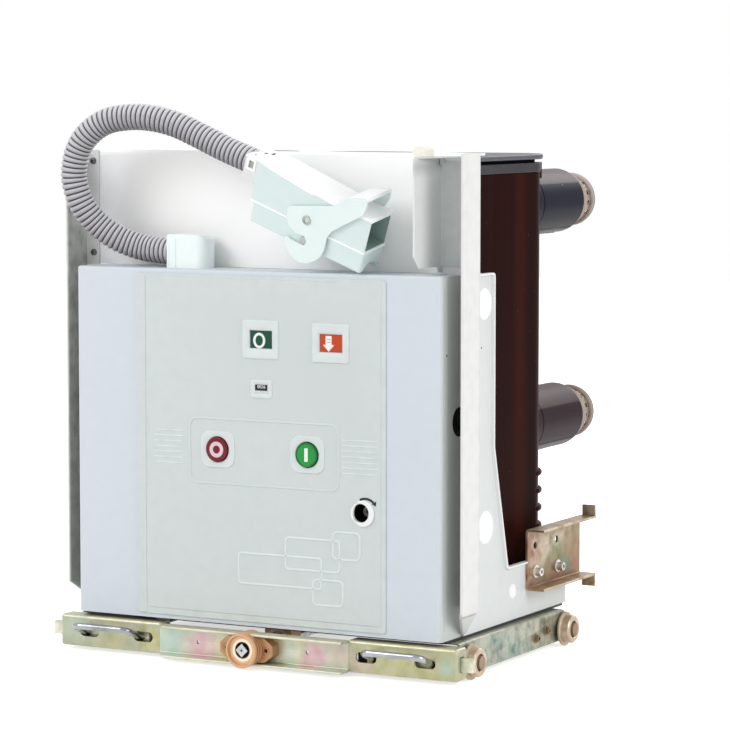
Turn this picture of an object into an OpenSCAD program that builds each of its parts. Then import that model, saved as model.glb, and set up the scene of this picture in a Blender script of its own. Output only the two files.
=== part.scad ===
// Withdrawable indoor vacuum circuit breaker on a rolling truck. Millimetres.
// Heights are measured from the floor, depths from the front of the mechanism housing.

/* [Truck] */
// Width of the front beam over its end faces
beam_w = 544; // [520:1:600]
// Height of the front beam
beam_h = 38.5; // [36:0.5:46]
// Gap between the floor and the underside of the front beam
beam_clear = 5; // [3:0.5:8]
// Front to back depth of the beam's end sections
beam_depth = 26; // [22:1:34]
// How far the front beam stands in front of the housing
beam_front = 5; // [3:0.5:8]
// Sheet thickness of the truck
truck_t = 3; // [2:0.5:4]
// Length of the middle beam section
centre_w = 260; // [200:1:280]
// How far the lips of the middle section stick out
lip_out = 20; // [10:1:24]
// Distance between the outer faces of the two side rails
rail_span = 520; // [505:1:524]
// Length of a side rail
rail_l = 294; // [280:1:330]
// Wheel flange radius
wheel_r = 21; // [18:0.5:24]
// Wheel tread radius
tread_r = 17.5; // [14:0.5:17.5]
// Width of a wheel
wheel_w = 14; // [10:0.5:15]
// Wheel axle radius
axle_r = 6; // [4:0.5:7]
// How far the rear axles sit in front of the rails' rear ends
rear_axle_in = 12; // [10:1:30]

/* [Latches] */
// Travel of a locking tongue and its handle
latch_travel = 15; // [8:0.5:15]
// How far a locking tongue sticks out of the beam
tongue_out = 15; // [15:0.5:20]
// Height of a locking tongue
tongue_h = 16; // [12:0.5:17]
// Thickness of a locking tongue
tongue_t = 8; // [5:0.5:9]
// Distance between the two legs of a handle
handle_w = 77; // [70:1:80]
// Handle bar diameter
handle_d = 8; // [6:0.5:8.5]
// How far a handle stands in front of the beam
handle_out = 26; // [24:1:32]
// How far a handle's legs slope upwards, in degrees
handle_tilt = 22; // [0:1:26]

/* [Racking socket] */
// Outer radius of the socket ring
ring_r = 21; // [18:0.5:21]
// Width across the flats of the square drive
square_w = 11.8; // [8:0.1:12]
// Radius of the racking shaft's journal
journal_r = 9; // [8:0.1:9.5]
// Radius of the racking screw
screw_r = 7; // [5:0.5:7.5]

/* [Housing] */
// Width of the mechanism housing
box_w = 496; // [470:1:500]
// Height of the mechanism housing
box_h = 423; // [400:1:440]
// Depth of the front cover
cover_depth = 50; // [45:1:53]
// Depth from the front cover's face to the poles
box_depth = 110; // [100:1:120]
// Gap between the front beam and the housing above it
box_gap = 5; // [3:0.5:8]
// Corner radius of the front cover
cover_r = 5; // [4:0.5:14]
// Thickness of the face plate
face_t = 2.5; // [1.5:0.5:4]
// Width of the face plate
face_w = 339; // [320:1:345]
// Sideways offset of the face plate's middle
face_x = 7.5; // [0:0.5:8]
// Height of the face plate
face_h = 412; // [390:1:412]
// Radius of the two push buttons
button_r = 14.5; // [10:0.5:16]
// Travel of the two push buttons
button_travel = 4; // [2:0.5:5]
// Radius of the charging socket
charge_r = 11; // [9:0.5:14]

/* [Side plates and columns] */
// Thickness of a side plate
side_t = 3; // [2:0.5:4]
// Depth at which a side plate's upper part ends
side_rear = 130; // [125:1:150]
// Depth at which a side plate's lower part ends
side_end = 340; // [330:1:350]
// Height of a side plate's low ledge above the floor
ledge_z = 115; // [105:1:125]
// How far the side plate's rim stands out
rim_out = 4; // [3:0.5:8]
// Width across the outer faces of the two columns
column_span = 540; // [530:1:560]
// Height of the columns' tops above the floor
column_top = 611; // [590:1:640]
// Sheet thickness of the columns and the baffle
column_t = 2.5; // [1.5:0.5:3]
// Depth of a column's outer strip
strip_depth = 46; // [40:1:48]

/* [Poles] */
// Distance from one pole to the next
pole_pitch = 170; // [160:1:175]
// Width of a pole
pole_w = 125; // [115:1:135]
// Depth of a pole
pole_depth = 225; // [210:1:230]
// Radius of a pole's rear corners
pole_r = 50; // [30:1:57]
// Height of a pole's top above the floor
pole_top = 584; // [575:1:590]
// Height of the upper arm's axis above the floor
arm_top_z = 543; // [520:0.5:543]
// Distance between the upper and the lower arm
arm_spacing = 275; // [250:1:300]
// Radius of an arm's sleeve at its free end
arm_r = 40.5; // [34:0.5:41.5]
// Length of an arm's sleeve behind the pole
arm_l = 147; // [130:1:160]
// Length of a contact behind the sleeve
contact_l = 45; // [40:1:60]
// Inner radius of a contact's finger ring
contact_bore_r = 17.5; // [15:0.5:20]
// Outer radius of a contact's spring rings
contact_r = 34; // [31:0.5:35]

/* [Shutter brackets] */
// Length of a bracket's web
bracket_l = 153; // [140:1:160]
// Height of a bracket's web
bracket_h = 75; // [60:1:80]
// Width of a bracket's flanges
bracket_flange = 22; // [16:1:30]
// Distance between a bracket's bolt holes along its length
bracket_pitch = 62; // [50:1:80]
// Bolt hole radius of a bracket
bracket_hole_r = 4.5; // [3:0.5:5.5]

/* [Secondary plug] */
// Outer diameter of the corrugated hose
hose_d = 32; // [24:1:34]
// Length of the plug's body
plug_l = 162; // [150:1:178]
// Width of the plug's body
plug_w = 46; // [40:1:50]
// Height of the plug's body
plug_h = 78; // [66:1:80]

/* [Hidden] */

$fn = 64;
// Overlap of solids that are joined within one piece, and how far a cutter passes a face
touch = 0.01;
over = 1;
// Gaps round pins, round sliding pieces and round pieces that pass each other
pin_clear = 0.06;
slide_clear = 1;
move_clear = 5;

beam_top = beam_clear + beam_h;
beam_mid = beam_clear + beam_h / 2;
beam_x = beam_w / 2;
beam_rear = beam_depth - beam_front;
web_front = -beam_front;
centre_half = centre_w / 2;
lip_slope = 16;
beam_hole_r = 2.5;
beam_hole_x = 75;

rail_x = rail_span / 2;
rail_y = beam_rear + move_clear;
rail_end = rail_y + rail_l;
rail_z = beam_clear;
rail_top = 45;
rail_t = 2;
rail_flange = 22;
rail_corner = 14;
crossbar_y = rail_end - 30;
guide_w = 16;
guide_h = 6.5;
guide_end = crossbar_y - 20;

axle_z = wheel_r;
front_axle_y = rail_y + wheel_r;
rear_axle_y = rail_end - rear_axle_in;
collar_l = 2;
collar_out = 3;
cap_l = 1.5;
cap_out = 2;
side_play = 0.5;
wheel_x = rail_x + collar_l + side_play;
wheel_flange = 4;
wheel_dish = 3;
wheel_bore = axle_r + pin_clear;
wheel_hub_r = 8.5;

box_z = beam_top + box_gap;
box_top = box_z + box_h;
box_x = box_w / 2;
face_z = box_z + 5;
face_r = 4;
housing_in = 1;
housing_top = box_top - 1.5;

side_x = box_x - housing_in + side_t;
bracket_t = 3;
bracket_y = side_end - 117;
bracket_z = ledge_z - 36;
side_rim = 2.5;
column_x = column_span / 2;
strip_front = 10;
strip_rear = strip_front + strip_depth;
baffle_y = strip_rear;
baffle_fold = 16;

pole_end = box_depth + pole_depth;
arm_low_z = arm_top_z - arm_spacing;
pole_x = [-pole_pitch, 0, pole_pitch];
sheds = 4;
shed_drop = 55;
shed_pitch = 21.9;
shed_t = 8;
shed_out = 10.5;
stub_in = 40;
stub_step = 2;
stub_l = 3;
cap_rim = 11.5;
cap_neck = 4;
cap_disc = 6.5;
arm_flare = 1.5;
arm_nose = 10;
arm_y = pole_end + stub_l;
contact_y = arm_y + arm_l;
contact_end = contact_y + contact_l;

latch_y = 4;
handle_leg_x = 160.5;
handle_bend = 10;
handle_root = 6;
latch_in = handle_leg_x - 10.5;
slot_h = 13;
slot_l = handle_d + latch_travel + 4;

ring_front = 33;
ring_lip = 3.5;
ring_neck_r = 16;
flange_front = 20;
flange_hole_x = 27;
flange_hole_l = 7;
square_front = 31;
journal_front = 12;
screw_front = 2;
screw_end = crossbar_y - move_clear - slide_clear;
nut_y = 56;
nut_l = 24;
nut_w = 36;
nut_z = 8;
nut_clear = 2.5;

front_end = beam_front + handle_out + handle_d / 2;
depth_mid = (contact_end - front_end) / 2;

// Places on the face plate: the windows, the buttons and the charging socket
window_size = [30, 21];
counter_size = [17, 9];
position_at = [11, face_z + 337.5];
spring_at = [105, face_z + 336.5];
counter_at = [11, face_z + 281.5];
trip_x = -48;
close_x = 74;
button_z = face_z + 204.5;
button_pocket = 15;
charge_x = 145;
charge_z = face_z + 140;
charge_depth = 36;
charge_hex_r = 7.5;
charge_hex_y = 16;
charge_pin_r = 6;

// The hose's route from the elbow to the plug, above the housing's top
hose_route = [
    [-128, 29, 18.5], [-162.7, 28, 21.3], [-183.8, 23, 26.5], [-202.2, 15, 35.5],
    [-220.7, 6, 50.6], [-232.6, -3, 68.2], [-240, -9, 88.2], [-242.9, -12, 111.1],
    [-236.9, -13, 137.7], [-223.8, -12, 157.6], [-200.6, -8, 173.9], [-170.5, -4, 179.7],
    [-140, -1, 178.9], [-108.9, 3, 171.9], [-79.5, 6.5, 159.5], [-42.6, 9, 143], [-8.7, 10, 130],
];
hose_points = [for (p = hose_route) p + [0, 0, box_top]];
hose_sides = 12;
elbow_size = [53, 33, 40];
elbow_y = 12.5;
elbow_r = 13;

// The plug's own axes run along its length, its depth and its height
plug_end = hose_points[len(hose_points) - 1];
plug_pitch = 22;
plug_roll = 13;
plug_x = 28;
plug_far = plug_x + plug_l;
plug_y = -30;
plug_top = 20;
plug_fall = 8;
plug_low = plug_top - plug_h;
plug_split = -32;
collar_x = 2;
collar_size = 34;
pocket_l = 25;
pocket_wall = 5;
pocket_h = 32;
lever_pin = [plug_far - 80.5, -22];
lever_pin_r = 5;
cheek_t = 3;
cheek_gap = 0.8;

holder_x = 218;
holder_front = -14;
holder_low = box_top + 1.5;

// Puts the depths' zero at the middle of the breaker
module in_frame() {
    translate([0, -depth_mid, 0]) children();
}

module mirror_if(flip) {
    if (flip) mirror([1, 0, 0]) children();
    else children();
}

// A plate drawn in X and Z, from depth y back over t
module plate_xz(y, t) {
    translate([0, y + t, 0]) rotate([90, 0, 0]) linear_extrude(t) children();
}

// A plate drawn in Y and Z, from x outwards over t
module plate_yz(x, t) {
    translate([x, 0, 0]) rotate([90, 0, 90]) linear_extrude(t) children();
}

// A round rod or hole along Y from depth y back over l
module rod_y(r, y, l, x = 0, z = 0) {
    translate([x, y, z]) rotate([-90, 0, 0]) cylinder(r = r, h = l);
}

// A round rod or hole along X
module rod_x(r, x, l, y, z) {
    translate([x, y, z]) rotate([0, 90, 0]) cylinder(r = r, h = l);
}

module round_rect(w, h, r) {
    square([w - 2 * r, h], center = true);
    square([w, h - 2 * r], center = true);
    for (sx = [-1, 1], sy = [-1, 1])
        translate([sx * (w / 2 - r), sy * (h / 2 - r)]) circle(r);
}

// ---- front beam ----

module beam_end(flip) {
    color("#C9CDA6") in_frame() mirror_if(flip) difference() {
        translate([centre_half, web_front, beam_clear])
            cube([beam_x - centre_half, beam_depth, beam_h]);
        translate([centre_half - over, web_front + truck_t, beam_clear + truck_t])
            cube([beam_x - centre_half + over - truck_t, beam_depth, beam_h - 2 * truck_t]);
        for (x = [handle_leg_x, handle_leg_x + handle_w])
            plate_xz(web_front - over, truck_t + 2 * over)
                translate([x - latch_travel / 2, beam_mid])
                    round_rect(slot_l, slot_h, slot_h / 2 - touch);
        translate([beam_x - truck_t - over, latch_y - slide_clear,
                   beam_mid - tongue_h / 2 - slide_clear])
            cube([truck_t + 2 * over, tongue_t + 2 * slide_clear, tongue_h + 2 * slide_clear]);
    }
}

module front_beam_left() { beam_end(true); }
module front_beam_right() { beam_end(false); }

module front_beam_middle() {
    lip_y = web_front - lip_out;
    color("#CDC7BE") in_frame() difference() {
        union() {
            translate([-centre_half, web_front, beam_clear]) cube([centre_w, truck_t, beam_h]);
            for (z = [beam_clear, beam_top - truck_t])
                translate([0, 0, z]) linear_extrude(truck_t) polygon([
                    [-centre_half, web_front + touch], [-centre_half + lip_slope, lip_y],
                    [centre_half, lip_y], [centre_half, web_front + touch]
                ]);
        }
        rod_y(journal_r + pin_clear, web_front - over, truck_t + 2 * over, 0, beam_mid);
        for (x = [-beam_hole_x, beam_hole_x])
            rod_y(beam_hole_r, web_front - over, truck_t + 2 * over, x, beam_mid);
    }
}

// Two flat bars that hold the beam square as it slides in the rails
module guide_bars() {
    front = web_front + truck_t;
    color("#B9BD9C") in_frame() for (flip = [false, true]) mirror_if(flip)
        translate([rail_x - truck_t - slide_clear - guide_w, front, beam_clear + truck_t])
            cube([guide_w, guide_end - front, guide_h]);
}

module racking_socket() {
    half_w = 36;
    half_h = 15;
    cut_w = 12;
    cut_h = 9;
    lip_clear = 0.5;
    well_clear = 1.1;
    well_r = square_w / sqrt(2) + well_clear;
    color("#D9B48C") in_frame() difference() {
        union() {
            plate_xz(-flange_front, flange_front - beam_front) translate([0, beam_mid])
                polygon([for (s = [-1, 1], p = [
                    [-half_w, cut_h - half_h], [cut_w - half_w, -half_h],
                    [half_w - cut_w, -half_h], [half_w, cut_h - half_h]
                ]) -s * p]);
            rod_y(ring_r, -ring_front, ring_front + web_front - lip_out - lip_clear, 0, beam_mid);
            rod_y(ring_neck_r, -ring_front, ring_front - flange_front, 0, beam_mid);
        }
        rod_y(ring_r - ring_lip, -ring_front - over, ring_lip + over, 0, beam_mid);
        rod_y(well_r, -ring_front - over, ring_front - journal_front + over, 0, beam_mid);
        rod_y(journal_r + pin_clear, -ring_front, ring_front, 0, beam_mid);
        for (x = [-flange_hole_x, flange_hole_x])
            rod_y(beam_hole_r, -flange_front - over, flange_hole_l + over, x, beam_mid);
    }
}

module racking_screw() {
    centre_r = 1.5;
    color("#C8CACB") in_frame() {
        difference() {
            translate([0, -square_front, beam_mid]) rotate([0, 45, 0])
                translate([-square_w / 2, 0, -square_w / 2])
                    cube([square_w, square_front - journal_front, square_w]);
            rod_y(centre_r, -square_front - over, 2 * centre_r + over, 0, beam_mid);
        }
        rod_y(journal_r, -journal_front, journal_front - screw_front, 0, beam_mid);
        rod_y(screw_r, -screw_front, screw_end + screw_front, 0, beam_mid);
    }
}

// Hangs under the base plate and carries the racking screw
module screw_nut() {
    color("#C9A26B") in_frame() difference() {
        translate([-nut_w / 2, nut_y, nut_z]) cube([nut_w, nut_l, rail_top - nut_z]);
        rod_y(screw_r + nut_clear, nut_y - over, nut_l + 2 * over, 0, beam_mid);
    }
}

// ---- latches ----

module latch(flip) {
    color("#D6CB8F") in_frame() mirror_if(flip)
        translate([latch_in, latch_y, beam_mid - tongue_h / 2])
            cube([beam_x + tongue_out - latch_in, tongue_t, tongue_h]);
}
module latch_left() { latch(true); }
module latch_right() { latch(false); }

// A bent bar whose legs slope down to the latch and are cut flush with its front face
module handle(flip) {
    reach = (handle_out + beam_front + latch_y) / cos(handle_tilt);
    leg = reach - handle_bend;
    room = 2 * reach + handle_w;
    drop = (latch_y + beam_front - truck_t / 2) * tan(handle_tilt);
    color("#D5D8DA") in_frame() mirror_if(flip) intersection() {
        translate([handle_leg_x, latch_y, beam_mid - drop])
            rotate([-handle_tilt, 0, 0]) {
                for (x = [0, handle_w])
                    translate([x, handle_root + handle_d, 0]) rotate([90, 0, 0])
                        cylinder(d = handle_d, h = leg + handle_root + handle_d);
                for (k = [0, 1])
                    translate([k == 0 ? handle_bend : handle_w - handle_bend, -leg, 0])
                        rotate([0, 0, 180 + 90 * k]) rotate_extrude(angle = 90)
                            translate([handle_bend, 0]) circle(d = handle_d, $fn = 32);
                translate([handle_bend, -reach, 0]) rotate([0, 90, 0])
                    cylinder(d = handle_d, h = handle_w - 2 * handle_bend);
            }
        translate([handle_leg_x - room / 4, latch_y - room, beam_mid - room])
            cube([1.5 * room, room, 2 * room]);
    }
}
module handle_left() { handle(true); }
module handle_right() { handle(false); }

// ---- chassis ----

module rail(flip) {
    rail_h = rail_top - rail_z;
    color("#9FB6A2") in_frame() mirror_if(flip) {
        plate_yz(rail_x - truck_t, truck_t) {
            translate([rail_y, rail_z]) square([rail_l - rail_corner, rail_h]);
            translate([rail_y, rail_z]) square([rail_l, rail_h - rail_corner]);
            translate([rail_end - rail_corner, rail_top - rail_corner]) circle(rail_corner);
        }
        translate([rail_x - rail_flange, rail_y, rail_top - rail_t])
            cube([rail_flange - truck_t + touch, rail_l - rail_corner, rail_t]);
        translate([rail_x - rail_flange, rail_y, rail_z])
            cube([rail_flange - truck_t + touch, rail_l, rail_t]);
    }
}
module rail_left() { rail(true); }
module rail_right() { rail(false); }

// Stands between the rails' flanges and reaches up to the base plate
module rear_crossbar() {
    half = rail_x - rail_flange;
    foot = rail_x - truck_t;
    color("#B9BD9C") in_frame() plate_xz(crossbar_y, truck_t) {
        translate([-half, rail_z + rail_t + over]) square([2 * half, rail_top - rail_z - rail_t - over]);
        translate([-foot, rail_z + rail_t]) square([2 * foot, rail_top - rail_z - 2 * rail_t]);
    }
}

module base_plate() {
    half = box_x;
    front = 15;
    color("#2E3133") in_frame() translate([-half, front, rail_top])
        cube([2 * half, pole_end - front, box_z - rail_top]);
}

module axles() {
    end = wheel_x + wheel_w + side_play;
    color("#8F9079") in_frame() for (flip = [false, true], y = [front_axle_y, rear_axle_y])
        mirror_if(flip) {
            rod_x(axle_r, rail_x, end + cap_l - rail_x, y, axle_z);
            rod_x(axle_r + collar_out, rail_x, collar_l, y, axle_z);
            rod_x(axle_r + cap_out, end, cap_l, y, axle_z);
        }
}

module wheel(flip, y) {
    outer = wheel_x + wheel_w;
    color("#B39A7A") in_frame() mirror_if(flip) difference() {
        union() {
            rod_x(wheel_r, wheel_x, wheel_flange, y, axle_z);
            rod_x(tread_r, wheel_x, wheel_w, y, axle_z);
        }
        rod_x(wheel_bore, wheel_x - over, wheel_w + 2 * over, y, axle_z);
        difference() {
            rod_x(tread_r - wheel_dish, outer - wheel_dish, wheel_dish + over, y, axle_z);
            rod_x(wheel_hub_r, wheel_x, wheel_w + 2 * over, y, axle_z);
        }
    }
}
module wheel_front_left() { wheel(true, front_axle_y); }
module wheel_front_right() { wheel(false, front_axle_y); }
module wheel_rear_left() { wheel(true, rear_axle_y); }
module wheel_rear_right() { wheel(false, rear_axle_y); }

// ---- housing ----

module mechanism_housing() {
    color("#C9CFD3") in_frame() translate([housing_in - box_x, cover_depth, box_z])
        cube([box_w - 2 * housing_in, box_depth - cover_depth, housing_top - box_z]);
}

module front_cover() {
    color("#D2D9DF") in_frame() difference() {
        translate([0, 0, box_z]) linear_extrude(box_h) {
            translate([-box_x, cover_r]) square([box_w, cover_depth - cover_r]);
            translate([-box_x + cover_r, 0]) square([box_w - 2 * cover_r, cover_depth]);
            for (s = [-1, 1]) translate([s * (box_x - cover_r), cover_r]) circle(cover_r);
        }
        for (x = [trip_x, close_x])
            rod_y(button_r + slide_clear, -over, button_pocket + over, x, button_z);
        rod_y(charge_r, -over, charge_depth + over, charge_x, charge_z);
        rod_y(charge_pin_r + pin_clear, charge_depth - over, cover_depth, charge_x, charge_z);
    }
}

module face_plate() {
    color("#CDD4D3") in_frame() difference() {
        plate_xz(-face_t, face_t) difference() {
            translate([face_x, face_z + face_h / 2]) round_rect(face_w, face_h, face_r);
            for (p = [position_at, spring_at]) translate(p) square(window_size, center = true);
            translate(counter_at) square(counter_size, center = true);
        }
        for (x = [trip_x, close_x])
            rod_y(button_r + slide_clear, -face_t - over, face_t + 2 * over, x, button_z);
        rod_y(charge_r, -face_t - over, face_t + 2 * over, charge_x, charge_z);
    }
}

module pane(at, size) {
    pane_t = 1;
    plate_xz(-pane_t, pane_t) translate(at) square(size, center = true);
}
module position_window() { color("#0B4A38") in_frame() pane(position_at, window_size); }
module spring_window() { color("#C8451A") in_frame() pane(spring_at, window_size); }
module counter_window() { color("#141414") in_frame() pane(counter_at, counter_size); }

module button(x) {
    front = -face_t - button_travel;
    rod_y(button_r, front, button_pocket - move_clear - front, x, button_z);
}
module trip_button() { color("#6E1220") in_frame() button(trip_x); }
module close_button() { color("#179A3C") in_frame() button(close_x); }

module charging_shaft() {
    color("#33363A") in_frame() {
        translate([charge_x, charge_hex_y, charge_z]) rotate([-90, 0, 0])
            cylinder(r = charge_hex_r, h = charge_depth - charge_hex_y - side_play, $fn = 6);
        rod_y(charge_pin_r, charge_depth - over, cover_depth - charge_depth, charge_x, charge_z);
    }
}

// ---- side plates and columns ----

module side_plate(flip) {
    rim = side_rim;
    slant_z = ledge_z + 148;
    slant_y = side_rear + 38;
    color("#E2E5E4") in_frame() mirror_if(flip) {
        plate_yz(side_x - side_t, side_t) polygon([
            [strip_rear, box_z], [side_end, box_z], [side_end, ledge_z], [slant_y, ledge_z],
            [side_rear, slant_z], [side_rear, housing_top], [strip_rear, housing_top]
        ]);
        plate_yz(side_x - touch, rim_out) polygon([
            [strip_rear, housing_top], [side_rear, housing_top], [side_rear, slant_z],
            [slant_y, ledge_z], [bracket_y - over, ledge_z], [bracket_y - over, ledge_z - rim],
            [slant_y - rim, ledge_z - rim], [side_rear - rim, slant_z],
            [side_rear - rim, housing_top - rim], [strip_rear, housing_top - rim]
        ]);
    }
}
module side_plate_left() { side_plate(true); }
module side_plate_right() { side_plate(false); }

module column(flip) {
    t = column_t;
    foot_low = box_z + 3.5;
    foot_z = foot_low + 30;
    color("#E6E8E6") in_frame() mirror_if(flip) {
        plate_xz(strip_front, strip_depth) polygon([
            [column_x, column_top], [column_x, foot_z], [side_x + t, foot_low], [side_x, foot_low],
            [side_x, foot_low + over], [column_x - t, foot_z + over], [column_x - t, column_top]
        ]);
        translate([side_x, strip_rear - t, foot_z + over])
            cube([column_x - side_x - t + touch, t, column_top - foot_z - over]);
    }
}
module column_left() { column(true); }
module column_right() { column(false); }

module baffle_panel() {
    half = column_x - 2;
    color("#F2F3F4") in_frame() {
        translate([-half, baffle_y, box_top]) cube([2 * half, column_t, column_top - box_top]);
        translate([-half, baffle_y, column_top - column_t]) cube([2 * half, baffle_fold, column_t]);
    }
}

// An upright plate at the right, with a folded strip that reaches to the column
module plug_holder() {
    top = column_top - 3;
    low = holder_low;
    heel = 11;
    notch = 7;
    slope = 14;
    fold = side_x - holder_x - column_t - 2;
    color("#E9EAE9") in_frame() {
        plate_yz(holder_x, column_t) polygon([
            [baffle_y, top], [holder_front, top], [holder_front, low + notch + slope],
            [holder_front + slope - over, low + notch], [baffle_y - heel, low + notch],
            [baffle_y - heel, low], [baffle_y, low]
        ]);
        translate([holder_x + column_t - touch, baffle_y - column_t, low + notch])
            cube([fold, column_t, top - low - 2 * notch]);
    }
}

module rubber_bumper() {
    size = [17, 26, 11];
    sink = 3;
    color("#EFE9D8") in_frame() plate_yz(holder_x - (size[0] - column_t) / 2, size[0])
        translate([holder_front + size[1] / 2 + 12, column_top - 2 * sink + size[2] / 2 + sink])
            round_rect(size[1], size[2], sink);
}

// ---- poles ----

module pole_plan(grow = 0) {
    half = pole_w / 2 + grow;
    r = pole_r + grow;
    y = pole_end - pole_r;
    translate([-half, box_depth]) square([2 * half, y - box_depth]);
    translate([-half + r, box_depth]) square([2 * (half - r), y + r - box_depth]);
    for (s = [-1, 1]) translate([s * (half - r), y]) circle(r, $fn = 96);
}

module pole(x) {
    shed_y = pole_end - 45;
    color("#33140F") in_frame() translate([x, 0, 0]) {
        translate([0, 0, box_z]) linear_extrude(pole_top - box_z) pole_plan();
        for (k = [0:sheds - 1])
            translate([0, 0, arm_low_z - shed_drop - k * shed_pitch - shed_t / 2])
                linear_extrude(shed_t) intersection() {
                    translate([0, shed_out]) pole_plan();
                    translate([-pole_w, shed_y]) square([2 * pole_w, pole_w]);
                }
        for (z = [arm_top_z, arm_low_z])
            rod_y(arm_r - stub_step, pole_end - stub_in, stub_in + stub_l, 0, z);
    }
}
module pole_left() { pole(pole_x[0]); }
module pole_middle() { pole(pole_x[1]); }
module pole_right() { pole(pole_x[2]); }

module pole_caps() {
    rim_out = 1.5;
    neck_in = 6;
    disc_out = 4;
    color("#4A4648") in_frame() for (x = pole_x) translate([x, 0, pole_top]) {
        linear_extrude(cap_rim) pole_plan(rim_out);
        translate([0, 0, cap_rim - touch]) linear_extrude(cap_neck) pole_plan(-neck_in);
        translate([0, 0, cap_rim + cap_neck - touch]) linear_extrude(cap_disc) pole_plan(disc_out);
    }
}

module arm_sleeves(z) {
    nose = arm_nose;
    taper = 0.7;
    for (x = pole_x) translate([x, arm_y, z]) rotate([-90, 0, 0]) rotate_extrude() {
        polygon([[0, 0], [arm_r + arm_flare, 0], [arm_r, arm_l * taper], [arm_r, arm_l - nose],
                 [arm_r - nose, arm_l - touch], [0, arm_l - touch]]);
        polygon([[0, 0], [arm_r - nose, 0], [arm_r - nose, arm_l], [0, arm_l]]);
        translate([arm_r - nose, arm_l - nose]) intersection() {
            circle(nose);
            square(nose);
        }
    }
}
module upper_arms() { color("#3A3B45") in_frame() arm_sleeves(arm_top_z); }
module lower_arms() { color("#4A3C3F") in_frame() arm_sleeves(arm_low_z); }

// A round foot, a ring of fingers and two spring rings round them
module contact_rings(z) {
    foot_r = 24;
    foot_l = 8;
    fingers_r = contact_r - 4;
    wall = contact_r - contact_bore_r;
    first_ring = [foot_l - 4, 13];
    last_ring = [contact_l - 11.5, 11.5];
    for (x = pole_x) translate([x, contact_y, z]) rotate([-90, 0, 0]) rotate_extrude() {
        square([foot_r, foot_l]);
        translate([contact_bore_r, foot_l - touch])
            square([fingers_r - contact_bore_r, contact_l - foot_l + touch]);
        for (ring = [first_ring, last_ring])
            translate([contact_bore_r, ring[0]]) square([wall, ring[1]]);
    }
}
module upper_contacts() { color("#B98A6B") in_frame() contact_rings(arm_top_z); }
module lower_contacts() { color("#B98A6B") in_frame() contact_rings(arm_low_z); }

// ---- shutter brackets ----

// A channel on the side plate, with a tab turned up and one turned down at its rear end
module shutter_bracket(flip) {
    t = bracket_t;
    tab = [18, 16.5];
    low = bracket_z;
    high = bracket_z + bracket_h - t;
    first_hole = [21, 53];
    color("#B08A60") in_frame() mirror_if(flip) {
        difference() {
            plate_yz(side_x, t) translate([bracket_y, low]) square([bracket_l, bracket_h]);
            for (y = [0, bracket_pitch])
                rod_x(bracket_hole_r, side_x - over, t + 2 * over, bracket_y + first_hole[0] + y,
                    low + first_hole[1]);
        }
        for (z = [low, high])
            translate([side_x + t - touch, bracket_y, z]) cube([bracket_flange, bracket_l, t]);
        for (z = [low + t - tab[1], high])
            translate([side_x + t + bracket_flange - tab[0], bracket_y + bracket_l - t, z])
                cube([tab[0], t, tab[1]]);
    }
}
module shutter_bracket_left() { shutter_bracket(true); }
module shutter_bracket_right() { shutter_bracket(false); }

// ---- hose and plug ----

// Rounded in plan and over its top at the end away from the hose
module hose_elbow() {
    w = elbow_size[0];
    d = elbow_size[1];
    h = elbow_size[2];
    r = elbow_r;
    color("#E6F3F1") in_frame() translate([hose_points[0][0], 0, box_top]) intersection() {
        translate([0, elbow_y, 0]) linear_extrude(h) {
            square([w - r, d]);
            translate([0, r]) square([w, d - 2 * r]);
            for (y = [r, d - r]) translate([w - r, y]) circle(r);
        }
        plate_xz(elbow_y - over, d + 2 * over) {
            square([w - r, h]);
            square([w + over, h - r]);
            translate([w - r, h - r]) circle(r);
        }
    }
}

function unit(v) = v / norm(v);
// The hose leaves its elbow square
function heading(pts, i) = i == 0 ? [-1, 0, 0] :
    unit(pts[min(i + 1, len(pts) - 1)] - pts[max(i - 1, 0)]);
function across(d) = unit(cross(d, [0, 1, 0]));
function hose_ring(pts, i) =
    let (d = heading(pts, i), a = across(d), b = cross(d, a))
    [for (k = [0:hose_sides - 1]) pts[i] + hose_d / 2 * (cos(360 * k / hose_sides) * a
                                                       + sin(360 * k / hose_sides) * b)];

module hose() {
    n = len(hose_points);
    rings = [for (i = [0:n - 1]) each hose_ring(hose_points, i)];
    sides = [for (i = [0:n - 2], k = [0:hose_sides - 1])
        let (j = (k + 1) % hose_sides)
        [i * hose_sides + k, (i + 1) * hose_sides + k, (i + 1) * hose_sides + j, i * hose_sides + j]];
    first = [for (k = [0:hose_sides - 1]) k];
    last = [for (k = [hose_sides - 1:-1:0]) (n - 1) * hose_sides + k];
    color("#A8A3A3") in_frame() polyhedron(rings, concat(sides, [first, last]));
}

module on_plug() {
    in_frame() translate(plug_end) rotate([0, plug_pitch, 0]) rotate([plug_roll, 0, 0]) children();
}

module plug_cover() {
    pin_out = cheek_gap + cheek_t + over;
    wall = pocket_wall;
    color("#E9F6F4") on_plug() difference() {
        union() {
            plate_xz(plug_y, plug_w) polygon([
                [plug_x, plug_split], [plug_x, plug_top], [plug_far, plug_top - plug_fall],
                [plug_far, plug_split]
            ]);
            translate([collar_x, -collar_size / 2 - 2, -collar_size / 2])
                cube([plug_x - collar_x + touch, collar_size, collar_size]);
            rod_y(lever_pin_r, plug_y - pin_out, plug_w + 2 * pin_out, lever_pin[0], lever_pin[1]);
        }
        translate([plug_far - pocket_l, plug_y + wall, plug_split + wall])
            cube([pocket_l + over, plug_w - 2 * wall, pocket_h]);
    }
}

module plug_base() {
    inset = 1;
    step = 4;
    arch = [14, 11];
    color("#CFE0DD") on_plug() difference() {
        translate([plug_x + step, plug_y + inset, plug_low])
            cube([plug_l - step, plug_w - 2 * inset, plug_split - plug_low]);
        translate([plug_far - arch[0], plug_y + plug_w / 2, plug_low]) rotate([0, 90, 0])
            cylinder(r = arch[1], h = arch[0] + over);
    }
}

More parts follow.
